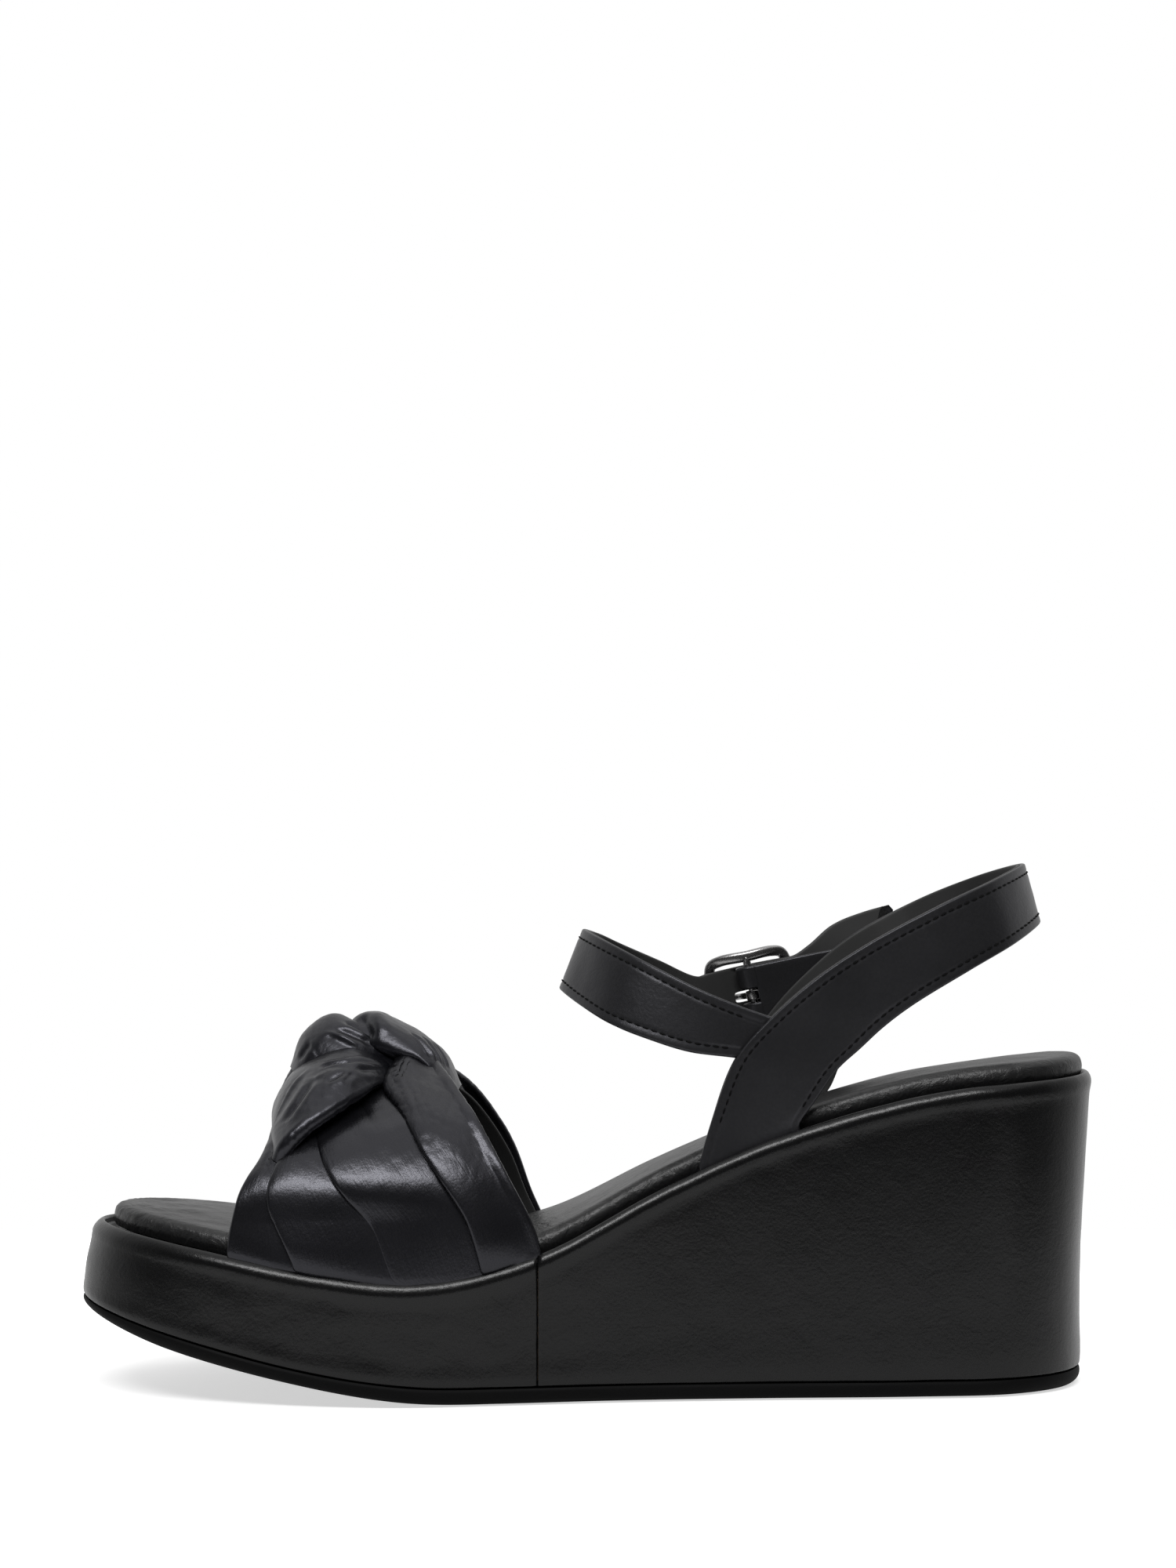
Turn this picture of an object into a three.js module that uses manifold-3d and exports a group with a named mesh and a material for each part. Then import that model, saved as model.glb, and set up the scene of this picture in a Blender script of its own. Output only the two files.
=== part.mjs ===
// A wedge sandal for the right foot: a leather-wrapped platform wedge on a rubber outsole, a padded
// footbed, a pleated and knotted front band, a heel strap, and an ankle strap with a heel-bar buckle.
// Millimetres. +X runs from toe to heel, +Y from the inner (medial) side to the outer (lateral) side,
// +Z up. The origin is on the floor, in the middle of the sandal's footprint.
import * as THREE from 'three';
import { mergeVertices } from 'three/addons/utils/BufferGeometryUtils.js';
import Module from 'manifold-3d';

const wasm = await Module();
wasm.setup();

// ---- Driving dimensions ----
const GAP = 0.3; // glue line, and the least room between two pieces
const STATIONS = 32; // rings of the sole are cut at this many steps from toe to heel
const TOE_LEAN = 4; // the foot of the wall stands this far ahead of its rim
const WRAP = 1.1; // leather of the wraps
const BEAD = 2.6; // width of the rolled bead along the rim
const LIP = 2.4; // the bead stands this far above the leather turned in under the footbed
const TURN_IN = 15; // reach of the leather turned in over the core, from the wall's face
const WRAP_SEAM_X = -11.8; // the toe wrap and the wedge wrap meet here
const UPPER = 1.1; // leather of the straps and the front band
const LINING = 0.8;
const SLOT = BEAD + GAP; // the uppers go down into the slot at this inset
const BOARD = 1.5;
const FOAM = 2.2;
const COVER = 1.1;
const FOOTBED_RISE = 4.8; // top of the footbed above the rim
const MARGIN_Z = -LIP + GAP + 0.1; // underside of the lasting margins, from the rim
const BOARD_Z = MARGIN_Z + UPPER + GAP;
const HEEL_STRAP_PIVOT = new THREE.Vector3(42.5, 0, 58.5);
const ROOT_RADIUS = 18.5; // the strap roots end on an arc about the pivot
const STRAP_HALF = 7.75;
const BUCKLE = new THREE.Vector3(42.2, 31.2, 92.3); // middle of the centre bar
const BUCKLE_SLOPE = THREE.MathUtils.degToRad(12);
const BAR_RADIUS = 1;
const RAIL = 2.1; // section of the buckle's rails

// Plan of the rim, from the toe tip round the outer side to the heel and back round the inner side.
const RIM_PLAN = [
  [-120, -6], [-115, 12], [-101, 28], [-78, 39], [-48, 45], [-18, 43], [12, 38], [45, 33.5], [80, 32],
  [105, 28], [119, 17], [124, 0], [119, -16], [105, -27], [80, -31], [45, -33], [12, -36], [-18, -41],
  [-48, -45], [-78, -43], [-101, -35], [-115, -22],
];
const HEEL_TIP = 11; // index of the heel in RIM_PLAN

// Heights along the sandal, as [x, z].
const rimHeight = smooth([
  [-122, 41], [-92, 36.2], [-64, 30.9], [-42, 28.6], [-12, 34.7], [18, 50.3], [46, 62.5], [84, 72.9], [124, 76.1],
]);
const outerSideDrop = smooth([[-120, 0.5], [-40, 0.8], [10, 3.4], [40, 4.5], [85, 4.5], [124, 0.2]]);
const wallFoot = smooth([[-124, 22.5], [-100, 16.2], [-66, 8.2], [-42, 4.6], [-24, 4], [124, 4]]);
const treadHeight = smooth([[-124, 20.3], [-100, 12.5], [-66, 4.5], [-44, 0.8], [-26, 0], [124, 0]]);

// ---- Curves ----
/** A smooth function through [x, value] points: cubic Hermite pieces, flat where the points are level. */
function smooth(points) {
  const slope = points.map((p, i) => {
    const a = points[Math.max(0, i - 1)];
    const b = points[Math.min(points.length - 1, i + 1)];
    const before = (p[1] - a[1]) / (p[0] - a[0] || 1);
    const after = (b[1] - p[1]) / (b[0] - p[0] || 1);
    if (i > 0 && i < points.length - 1 && before * after <= 0) return 0;
    return (b[1] - a[1]) / (b[0] - a[0]);
  });
  return (x) => {
    let i = 0;
    while (i < points.length - 2 && x > points[i + 1][0]) i += 1;
    const [x0, y0] = points[i];
    const [x1, y1] = points[i + 1];
    const t = THREE.MathUtils.clamp((x - x0) / (x1 - x0), 0, 1);
    const h = x1 - x0;
    const [t2, t3] = [t * t, t * t * t];
    return y0 * (2 * t3 - 3 * t2 + 1) + y1 * (3 * t2 - 2 * t3)
      + h * (slope[i] * (t3 - 2 * t2 + t) + slope[i + 1] * (t3 - t2));
  };
}

/** Height of the rim at a point: the outer side lies lower than the inner side along the arch. */
function rim(x, y) {
  return rimHeight(x) - outerSideDrop(x) * (y + 34) / 68;
}

const rimCurve = new THREE.CatmullRomCurve3(RIM_PLAN.map(([x, y]) => new THREE.Vector3(x, y, 0)), true);
const FINE = 440; // steps along the rim curve when it is inset

/** The two sides of the rim moved inwards by inset(x), each as [x, y] points from toe to heel. */
function insetSides(inset) {
  const moved = [];
  for (let i = 0; i <= FINE; i += 1) {
    const p = rimCurve.getPoint(i / FINE);
    const along = rimCurve.getTangent(i / FINE);
    const d = inset(p.x);
    moved.push([p.x + along.y * d, p.y - along.x * d]);
  }
  const heel = Math.round((FINE * HEEL_TIP) / RIM_PLAN.length);
  return { outer: moved.slice(0, heel + 1), inner: moved.slice(heel).reverse() };
}

/** y at x on a side given as [x, y] points of growing x. */
function across(side, x) {
  let i = 0;
  while (i < side.length - 2 && x > side[i + 1][0]) i += 1;
  const [x0, y0] = side[i];
  const [x1, y1] = side[i + 1];
  return x1 === x0 ? y0 : THREE.MathUtils.lerp(y0, y1, THREE.MathUtils.clamp((x - x0) / (x1 - x0), 0, 1));
}

/** y of the rim plan inset by a distance, on the outer (+1) or inner (-1) side. */
const insetCache = new Map();
function sideY(x, inset, side) {
  if (!insetCache.has(inset)) insetCache.set(inset, insetSides(() => inset));
  return across(insetCache.get(inset)[side > 0 ? 'outer' : 'inner'], x);
}

/**
 * A level ring of the sole: the rim plan inset by a distance or a function of x, at the heights z(x, y),
 * leaned towards the toe by lean of TOE_LEAN. Points i and 2n - i face each other across the sole.
 */
function ring(inset, z, lean = 0) {
  const sides = insetSides(typeof inset === 'function' ? inset : () => inset);
  const toe = sides.outer[0][0];
  const heel = sides.outer.at(-1)[0];
  const xAt = (i) => THREE.MathUtils.lerp(toe, heel, (1 - Math.cos((Math.PI * i) / STATIONS)) / 2);
  const points = [];
  for (let i = 0; i < 2 * STATIONS; i += 1) {
    const x = xAt(i <= STATIONS ? i : 2 * STATIONS - i);
    const y = across(i <= STATIONS ? sides.outer : sides.inner, x);
    points.push(new THREE.Vector3(x - lean * TOE_LEAN, y, z(x - lean * TOE_LEAN, y)));
  }
  return points;
}

// ---- Solids ----
/** A geometry from points and triangles, turned so that its faces point outwards. */
function closedGeometry(points, triangles) {
  const volume = triangles.reduce((sum, [a, b, c]) => sum
    + points[a].dot(new THREE.Vector3().crossVectors(points[b], points[c])), 0);
  const index = triangles.flatMap(([a, b, c]) => (volume < 0 ? [a, c, b] : [a, b, c]));
  return new THREE.BufferGeometry().setFromPoints(points).setIndex(index);
}

/** Triangles of the strips between rows of n points each; a closed row joins its last point to its first. */
function strips(rows, n, closedRow, closedRows) {
  const triangles = [];
  for (let r = 0; r < (closedRows ? rows : rows - 1); r += 1) {
    for (let i = 0; i < (closedRow ? n : n - 1); i += 1) {
      const a = r * n + i;
      const b = r * n + ((i + 1) % n);
      const c = ((r + 1) % rows) * n + i;
      const d = ((r + 1) % rows) * n + ((i + 1) % n);
      triangles.push([a, b, d], [a, d, c]);
    }
  }
  return triangles;
}

/** Strips across a ring of the sole, from each point to the one that faces it. */
function lid(start, up) {
  const at = (i) => start + (i % (2 * STATIONS));
  const triangles = [[at(0), at(1), at(2 * STATIONS - 1)]];
  for (let i = 1; i < STATIONS; i += 1) {
    const [a, b, c, d] = [at(i), at(i + 1), at(2 * STATIONS - i), at(2 * STATIONS - i - 1)];
    triangles.push([a, b, c]);
    if (i < STATIONS - 1) triangles.push([b, d, c]);
  }
  return triangles.map(([a, b, c]) => (up ? [a, c, b] : [a, b, c]));
}

/** A solid stacked from rings of the sole, with a lid at the bottom and one at the top. */
function stack(rings) {
  const n = 2 * STATIONS;
  const triangles = strips(rings.length, n, true, false);
  return closedGeometry(rings.flat(), [...lid(0, true), ...triangles, ...lid((rings.length - 1) * n, false)]);
}

/** A solid whose cross-section is a closed profile carried round the sole, one ring for each profile point. */
function hoop(rings) {
  return closedGeometry(rings.flat(), strips(rings.length, 2 * STATIONS, true, true));
}

/** A solid from cross-sections of the same even number of points, with ends closed across, or a closed loop. */
function sweep(sections, closed = false) {
  const n = sections[0].length;
  const triangles = strips(sections.length, n, true, closed);
  if (!closed) {
    const last = (sections.length - 1) * n;
    for (let i = 0; i < n / 2 - 1; i += 1) {
      const [a, b, c, d] = [i, i + 1, n - 2 - i, n - 1 - i];
      triangles.push([b, a, d], [b, d, c]);
      triangles.push([last + a, last + b, last + d], [last + b, last + c, last + d]);
    }
  }
  return closedGeometry(sections.flat(), triangles);
}

function toSolid(geometry) {
  const bare = geometry.clone();
  bare.deleteAttribute('normal');
  bare.deleteAttribute('uv');
  const merged = mergeVertices(bare, 1e-4);
  return new wasm.Manifold(new wasm.Mesh({
    numProp: 3,
    vertProperties: new Float32Array(merged.attributes.position.array),
    triVerts: new Uint32Array(merged.index.array),
  }));
}

function toGeometry(solid) {
  const mesh = solid.getMesh();
  const geometry = new THREE.BufferGeometry();
  geometry.setAttribute('position', new THREE.BufferAttribute(mesh.vertProperties, 3));
  return geometry.setIndex(new THREE.BufferAttribute(mesh.triVerts, 1));
}

const cut = (geometry, ...tools) => toGeometry(tools.reduce((s, t) => s.subtract(toSolid(t)), toSolid(geometry)));
const join = (first, ...others) => toGeometry(others.reduce((s, t) => s.add(toSolid(t)), toSolid(first)));
const keep = (geometry, region) => toGeometry(toSolid(geometry).intersect(toSolid(region)));

/** An upright block from one corner to the other. */
function block(low, high) {
  const size = new THREE.Vector3().subVectors(high, low);
  const middle = new THREE.Vector3().addVectors(low, high).multiplyScalar(0.5);
  return new THREE.BoxGeometry(size.x, size.y, size.z).translate(middle.x, middle.y, middle.z);
}

/** A round bar between two points. */
function bar(from, to, radius, sides = 12, endRadius = radius) {
  const along = new THREE.Vector3().subVectors(to, from);
  const geometry = new THREE.CylinderGeometry(endRadius, radius, along.length(), sides);
  geometry.applyQuaternion(new THREE.Quaternion()
    .setFromUnitVectors(new THREE.Vector3(0, 1, 0), along.clone().normalize()));
  const middle = new THREE.Vector3().addVectors(from, to).multiplyScalar(0.5);
  return geometry.translate(middle.x, middle.y, middle.z);
}

// ---- Straps ----
/**
 * A strap whose outer face runs through columns of points, from its left edge to its right edge as seen
 * from outside looking along it. It fills the depths outer(i) to inner(i) under that face, where i counts
 * along the points. Straps of the same columns and grain share their stations, so that they nest.
 */
function strap(columns, outer, inner, from = 0, to = columns[0].length - 1, grain = 0.25) {
  const stations = [from];
  for (let i = Math.ceil(from / grain + 0.01) * grain; i < to - 0.01; i += grain) stations.push(i);
  stations.push(to);
  return sweep(stations.map((i) => {
    const face = strapFace(columns, i);
    const at = (depth) => face.map(({ point, normal }) => point.clone().addScaledVector(normal, -depth));
    return [...at(outer(i)), ...at(inner(i)).reverse()];
  }));
}

/** The points and normals of a strap's outer face at point i of its columns. */
function strapFace(columns, i) {
  const t = i / (columns[0].length - 1);
  const curves = columns.map((column) => new THREE.CatmullRomCurve3(column));
  const points = curves.map((curve) => curve.getPoint(t));
  return points.map((point, j) => {
    const left = points[Math.max(0, j - 1)];
    const right = points[Math.min(points.length - 1, j + 1)];
    const across = new THREE.Vector3().subVectors(left, right);
    return { point, normal: curves[j].getTangent(t).cross(across).normalize() };
  });
}

const same = (value) => () => value;

/** Zero, rising to one between two edge points, and back to zero over half an edge point at each end. */
const hump = (i, from, to) => THREE.MathUtils.smoothstep(i, from - 0.5, from)
  * (1 - THREE.MathUtils.smoothstep(i, to, to + 0.5));

const rows = (list) => list.map(([x, y, z]) => new THREE.Vector3(x, y, z));

/** Points of a lasted end: from the end of its margin, under the board, round and up the slot. */
function lastedEnd(x, side) {
  const profile = [[TURN_IN - 2, MARGIN_Z], [8, MARGIN_Z], [4.6, MARGIN_Z], [3.4, MARGIN_Z + 0.5],
    [SLOT, MARGIN_Z + 1.7], [SLOT, 1.2]];
  return profile.map(([inset, rise]) => {
    const y = sideY(x, inset, side);
    return new THREE.Vector3(x, y, rim(x, y) + rise);
  });
}
const LASTED = 6; // points in a lasted end

/**
 * Columns of a strap lasted at both ends, between the front and rear edge points of its free part.
 * The roots give the first and last x of the inner and of the outer lasted end.
 */
function lastedColumns(count, front, rear, innerRoot, outerRoot) {
  return Array.from({ length: count }, (_, j) => {
    const share = j / (count - 1);
    const free = front.map((point, k) => point.clone().lerp(rear[k], share));
    const rootX = (root) => THREE.MathUtils.lerp(root[0], root[1], share);
    return [...lastedEnd(rootX(innerRoot), -1), ...free, ...lastedEnd(rootX(outerRoot), 1).reverse()];
  });
}

// Heel strap, inner side first: the front or upper edge, and the rear or lower edge, of its outer face.
const HEEL_STRAP_UPPER = rows([[30, -30.3, 67.7], [35.3, -29.8, 80.8], [43.8, -29.4, 90.5], [54, -29, 99.4],
  [65.2, -28.6, 107], [84, -27, 117], [98, -20, 123], [107.4, 0, 126.6], [98, 20, 123], [84, 27, 117],
  [66.5, 28.8, 107.5], [56.5, 29.4, 99.4], [47.5, 29.8, 90], [40, 30, 79], [36, 30.4, 65.5]]);
const HEEL_STRAP_LOWER = rows([[53.8, -30, 70], [59.5, -29.6, 78], [65, -29.2, 83], [70.5, -28.8, 88],
  [77.5, -28.4, 93.2], [91.5, -26.5, 101.5], [103, -19.5, 107.5], [111.4, 0, 112], [103, 19.5, 107.5],
  [91.5, 26.5, 101.5], [79, 28.6, 93.5], [73, 29.2, 88], [68.5, 29.6, 82.5], [64.5, 30, 76], [61.5, 30.2, 69]]);
const HEEL_STRAP = lastedColumns(4, HEEL_STRAP_UPPER, HEEL_STRAP_LOWER, [26.5, 50.5], [33.5, 57.5]);
const HEEL_STRAP_LAST = HEEL_STRAP[0].length - 1;
const SANDWICHES = [[6.3, 9], [15.7, 18.6]]; // where strap ends are sewn in under the heel strap
const SANDWICH_DEPTH = UPPER + GAP + 0.3;

/** A rod along y about the pivot of the heel strap, which parts the strap from its roots. */
function rootArc(radius, from, to) {
  const centre = (y) => new THREE.Vector3(HEEL_STRAP_PIVOT.x, y, HEEL_STRAP_PIVOT.z);
  return bar(centre(from), centre(to), radius, 72);
}

/** A root of the heel strap: one leather in its margin and slot, leather and lining above them. */
function strapRoot(side) {
  const depth = (i) => {
    const out = Math.min(i, HEEL_STRAP_LAST - i);
    return UPPER + (GAP + LINING) * THREE.MathUtils.smoothstep(out, LASTED - 1, LASTED - 0.4);
  };
  const span = side < 0 ? [0, 10] : [HEEL_STRAP_LAST - 10, HEEL_STRAP_LAST];
  const arc = side < 0 ? [-60, -5] : [5, 60];
  return keep(strap(HEEL_STRAP, same(0), depth, ...span), rootArc(ROOT_RADIUS - GAP / 2, ...arc));
}

function heelStrap() {
  const whole = strap(HEEL_STRAP, same(0), same(UPPER), LASTED - 1.5, HEEL_STRAP_LAST - LASTED + 1.5);
  return cut(whole, rootArc(ROOT_RADIUS + GAP / 2, -60, 60));
}

/** The lining runs clear of the strap ends that are sewn in between it and the heel strap. */
function heelStrapLining() {
  const away = (i) => UPPER + GAP + SANDWICHES.reduce((sum, span) => sum + SANDWICH_DEPTH * hump(i, ...span), 0);
  const whole = strap(HEEL_STRAP, away, (i) => away(i) + LINING, LASTED - 0.5, HEEL_STRAP_LAST - LASTED + 0.5);
  return cut(whole, rootArc(ROOT_RADIUS + GAP / 2, -60, 60));
}

// ---- Ankle strap and buckle ----
/** A point in the buckle's own frame: a along the strap, n outwards, b across it. */
function atBuckle(a, n, b) {
  return new THREE.Vector3(a, n, b).applyAxisAngle(new THREE.Vector3(0, 1, 0), -BUCKLE_SLOPE).add(BUCKLE);
}

/** Moves a geometry made in the buckle's own frame into place. */
const placeBuckle = (geometry) => geometry.rotateY(-BUCKLE_SLOPE).translate(BUCKLE.x, BUCKLE.y, BUCKLE.z);

// Outer face of the ankle strap where it passes the buckle, as [a, n]: under the front rail, over the
// centre bar and the folded tab, and under the rear rail.
const THROUGH_BUCKLE = [[-14, -1.2], [-11, 0.6], [-9, 1.7], [-6, 3.3], [-3, 4.5], [0, 5.1], [3, 4.7], [6, 3.4],
  [9, 1.8], [12, 1.3]];
const ANKLE_UPPER = [
  ...rows([[55, -27.7, 88], [43.8, -27.9, 90.5], [28, -28, 96.5], [18.7, -25.8, 101], [9.4, -20.5, 105.6],
    [2, -11.5, 109], [-1.3, 0, 110.5], [2, 11.5, 109], [9.4, 20.5, 105.4], [18.5, 26, 101.2]]),
  ...THROUGH_BUCKLE.map(([a, n]) => atBuckle(a, n, STRAP_HALF)),
  ...rows([[56.2, 32.8, 105], [62.1, 34.2, 109.9], [69.5, 36, 112.9], [76.8, 37.6, 114.9]]),
];
const ANKLE_LOWER = [
  ...rows([[50, -28.1, 77.5], [38, -28.3, 80.2], [24.3, -29.6, 82.2], [14, -28, 85.3], [5, -23.5, 88.6],
    [-2.5, -13.3, 92.6], [-7.2, 0, 95.6], [-2.5, 13.3, 92.6], [5, 23.5, 88.4], [15.5, 27.8, 84.6]]),
  ...THROUGH_BUCKLE.map(([a, n]) => atBuckle(a, n, -STRAP_HALF)),
  ...rows([[64.3, 32.8, 90.1], [72.9, 34.2, 98.7], [75.8, 36, 106], [78, 37.6, 113.6]]),
];
const ANKLE = [0, 1 / 3, 2 / 3, 1].map((share) => ANKLE_LOWER.map((p, k) => p.clone().lerp(ANKLE_UPPER[k], share)));
const ANKLE_HOLES = [9.4, 10.4, 20.2, 21]; // edge points of the spare holes
const HOLE_RADIUS = 0.9;

/** Short rods through the strap where its spare holes are, and a block for the prong's slotted hole. */
function ankleHoles() {
  const rods = ANKLE_HOLES.map((i) => {
    const [lower, , , upper] = strapFace(ANKLE, i);
    const middle = lower.point.lerp(upper.point, 0.5);
    const { normal } = lower;
    return bar(middle.clone().addScaledVector(normal, -4), middle.clone().addScaledVector(normal, 2), HOLE_RADIUS);
  });
  const slot = placeBuckle(block(new THREE.Vector3(-4.7, 0.6, -1.4), new THREE.Vector3(0.9, 7, 1.4)));
  return [...rods, slot];
}

function ankleStrap() {
  return cut(strap(ANKLE, same(0), same(UPPER)), ...ankleHoles());
}

function ankleLining() {
  const depth = UPPER + GAP;
  const whole = strap(ANKLE, same(depth), same(depth + LINING), 1.5, 22.75);
  return cut(whole, ...ankleHoles());
}

// The buckle tab's middle line as [a, n]: its end sewn inside the heel strap, round the bar, and back.
const TAB_PATH = [[19, -4.05], [14, -3.8], [8, -3.5], [2, -3.4], [-1, -3], [-2.5, -1.6], [-2.6, 0.2], [-1.2, 1.7],
  [0.7, 1.9], [2.5, 1.4], [4.5, 0.5], [6.6, -0.3]];
const TAB_HALF = 7.5;

function buckleTab() {
  const path = new THREE.CatmullRomCurve3(TAB_PATH.map(([a, n]) => new THREE.Vector3(a, n, 0)));
  const sections = [];
  const steps = 34;
  for (let k = 0; k <= steps; k += 1) {
    const p = path.getPoint(k / steps);
    const t = path.getTangent(k / steps);
    const side = new THREE.Vector3(-t.y, t.x, 0).multiplyScalar(UPPER / 2);
    const slant = THREE.MathUtils.smoothstep(p.x, 8, 19) * 0.5; // the sewn end follows the heel strap's edge
    const at = (sign, b) => p.clone().addScaledVector(side, sign).add(new THREE.Vector3(slant * b, 0, b));
    sections.push([at(1, -TAB_HALF), at(-1, -TAB_HALF), at(-1, TAB_HALF), at(1, TAB_HALF)]);
  }
  const slot = block(new THREE.Vector3(-4.5, -2.4, -1.8), new THREE.Vector3(2.6, 3.5, 1.8));
  return placeBuckle(cut(sweep(sections), slot));
}

const BUCKLE_HALF = 10; // from the centre bar to the middle of the end rails, and of the side rails
const BUCKLE_RISE = 3.4; // the end rails stand this far out from the centre bar

/** A closed frame of rounded rails, bowed over the foot, with a bar across its middle. */
function buckleFrame() {
  const corner = [[1, 0], [1, 0.66], [0.91, 0.91], [0.66, 1]];
  const turn = ([a, b], k) => [[a, b], [-b, a], [-a, -b], [b, -a]][k];
  const outline = [0, 1, 2, 3].flatMap((k) => corner.map((p) => turn(p, k)));
  const path = new THREE.CatmullRomCurve3(outline.map(([a, b]) => new THREE.Vector3(
    a * BUCKLE_HALF,
    BUCKLE_RISE * a * a,
    b * BUCKLE_HALF,
  )), true);
  const steps = 56;
  const half = RAIL / 2;
  const section = [[1, 0.5], [0.5, 1], [-0.5, 1], [-1, 0.5], [-1, -0.5], [-0.5, -1], [0.5, -1], [1, -0.5]];
  const sections = [];
  for (let k = 0; k < steps; k += 1) {
    const p = path.getPoint(k / steps);
    const side = new THREE.Vector3().crossVectors(path.getTangent(k / steps), new THREE.Vector3(0, 1, 0));
    const up = new THREE.Vector3().crossVectors(side, path.getTangent(k / steps)).normalize();
    side.normalize();
    sections.push(section.map(([s, u]) => p.clone().addScaledVector(side, s * half).addScaledVector(up, u * half)));
  }
  const centreBar = bar(new THREE.Vector3(0, 0, -BUCKLE_HALF), new THREE.Vector3(0, 0, BUCKLE_HALF), BAR_RADIUS, 20);
  return placeBuckle(join(sweep(sections, true), centreBar));
}

/** The prong: an eye round the centre bar and a bent arm that lies on the front rail. */
function buckleProng() {
  const arm = [[-0.9, 1.1, 0.8], [-3.5, 4.7, 0.8], [-5.5, 5.5, 0.75], [-11.3, 5.6, 0.6]];
  const pieces = arm.slice(1).map(([a, n, radius], k) => bar(
    new THREE.Vector3(arm[k][0], arm[k][1], 0),
    new THREE.Vector3(a, n, 0),
    arm[k][2],
    12,
    radius,
  ));
  const knuckles = arm.slice(1, 3).map(([a, n, r]) => new THREE.SphereGeometry(r, 12, 8).translate(a, n, 0));
  const sleeve = (radius, half) => bar(new THREE.Vector3(0, 0, -half), new THREE.Vector3(0, 0, half), radius, 24);
  return placeBuckle(cut(join(sleeve(1.9, 1.2), ...pieces, ...knuckles), sleeve(BAR_RADIUS + 0.25, 3)));
}

// ---- Front band and knot ----
// Front and rear edges of the band's outer face over the toes, inner side first.
const BAND_FRONT = rows([[-83, -37.8, 42], [-81, -35, 48.5], [-78, -28.5, 56.5], [-76, -16, 63.5], [-75, 0, 66],
  [-76, 13, 64], [-77, 24, 58.5], [-77.5, 31.5, 50.5], [-77.5, 35.3, 42]]);
const BAND_REAR = rows([[-14.3, -36.6, 43], [-19, -33, 54], [-24.5, -26.5, 66.5], [-31, -15, 77.5], [-36, 0, 83],
  [-33, 13.5, 78.5], [-27, 25.5, 67.5], [-20, 34, 54], [-15.5, 38.6, 42]]);
const BAND = lastedColumns(8, BAND_FRONT, BAND_REAR, [-84, -12], [-77.5, -12]);
const BAND_LAST = BAND[0].length - 1;
const BAND_LINING_Z = UPPER + GAP + 0.15; // depth of the lining under the band's face

const bandPart = (from, to, outer, inner) => strap(BAND, same(outer), same(inner), from, to, 0.5);

/** A leather roll along a path over the band, oval in section, as [x, y, z, half width, half thickness]. */
function roll(path, grow = 0) {
  const curve = new THREE.CatmullRomCurve3(rows(path));
  const size = new THREE.CatmullRomCurve3(path.map(([, , , w, t]) => new THREE.Vector3(w + grow, t + grow, 0)));
  const [steps, around] = [22, 14];
  const sections = [];
  for (let k = 0; k <= steps; k += 1) {
    const [p, along, half] = [curve.getPoint(k / steps), curve.getTangent(k / steps), size.getPoint(k / steps)];
    const side = new THREE.Vector3().crossVectors(along, new THREE.Vector3(0, p.y, p.z - 30)).normalize();
    const up = new THREE.Vector3().crossVectors(side, along).normalize();
    const angles = Array.from({ length: around }, (_, i) => (2 * Math.PI * i) / around);
    sections.push(angles.map((w) => p.clone()
      .addScaledVector(side, half.x * Math.cos(w)).addScaledVector(up, half.y * Math.sin(w))));
  }
  return sweep(sections);
}

const KNOT_UNDER = [[-34, -11, 78, 6, 3], [-44, -5, 82, 9, 4.6], [-54, 3, 80.5, 9, 4.6], [-64, 13, 73.5, 9, 4.6],
  [-73, 24, 61, 6, 3]];
const KNOT_OVER = [[-75, -27.5, 60, 4, 2.4], [-68, -20, 71, 8, 5], [-59, -8, 82, 9, 5.2], [-50, 4, 84.4, 9, 5.2],
  [-41, 17, 78, 8, 5], [-33, 27, 66, 4, 2.4]];


/** The room under the knot: the band and its lining, with a little over at the front and rear edges. */
function bandRoom() {
  const beyond = (from, to) => from.map((point, k) => point.clone().lerp(to[k], -0.1));
  const wide = [beyond(BAND[0], BAND[1]), ...BAND, beyond(BAND.at(-1), BAND.at(-2))];
  return strap(wide, same(-GAP), same(14), LASTED, BAND_LAST - LASTED, 0.5);
}

const knotUnder = () => cut(roll(KNOT_UNDER), bandRoom());
const knotOver = () => cut(roll(KNOT_OVER), bandRoom(), roll(KNOT_UNDER, GAP));

// ---- Sole ----
const wallLean = (share) => 1 - share * share;
const wallZ = (share) => (x, y) => THREE.MathUtils.lerp(wallFoot(x), rim(x, y), share);
const belowRim = (depth) => (x, y) => rim(x, y) - depth;
const TREAD = { starts: [-26, 72], counts: [7, 7], pitch: 5, width: 1.6, depth: 1, inset: 9 };

function outsole() {
  const between = (share) => (x) => THREE.MathUtils.lerp(treadHeight(x), wallFoot(x) - GAP, share);
  const body = stack([ring(2.2, treadHeight, 1), ring(0.5, between(0.3), 1), ring(-0.2, between(0.6), 1),
    ring(0.1, between(1), 1)]);
  const grooves = TREAD.starts.flatMap((start, k) => Array.from({ length: TREAD.counts[k] }, (_, i) => {
    const x = start + i * TREAD.pitch;
    return block(
      new THREE.Vector3(x, sideY(x, TREAD.inset, -1), -1),
      new THREE.Vector3(x + TREAD.width, sideY(x, TREAD.inset, 1), TREAD.depth),
    );
  }));
  return cut(body, ...grooves);
}

const FOOT_TURN_IN = 12; // reach of the wrap leather turned in under the core

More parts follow.
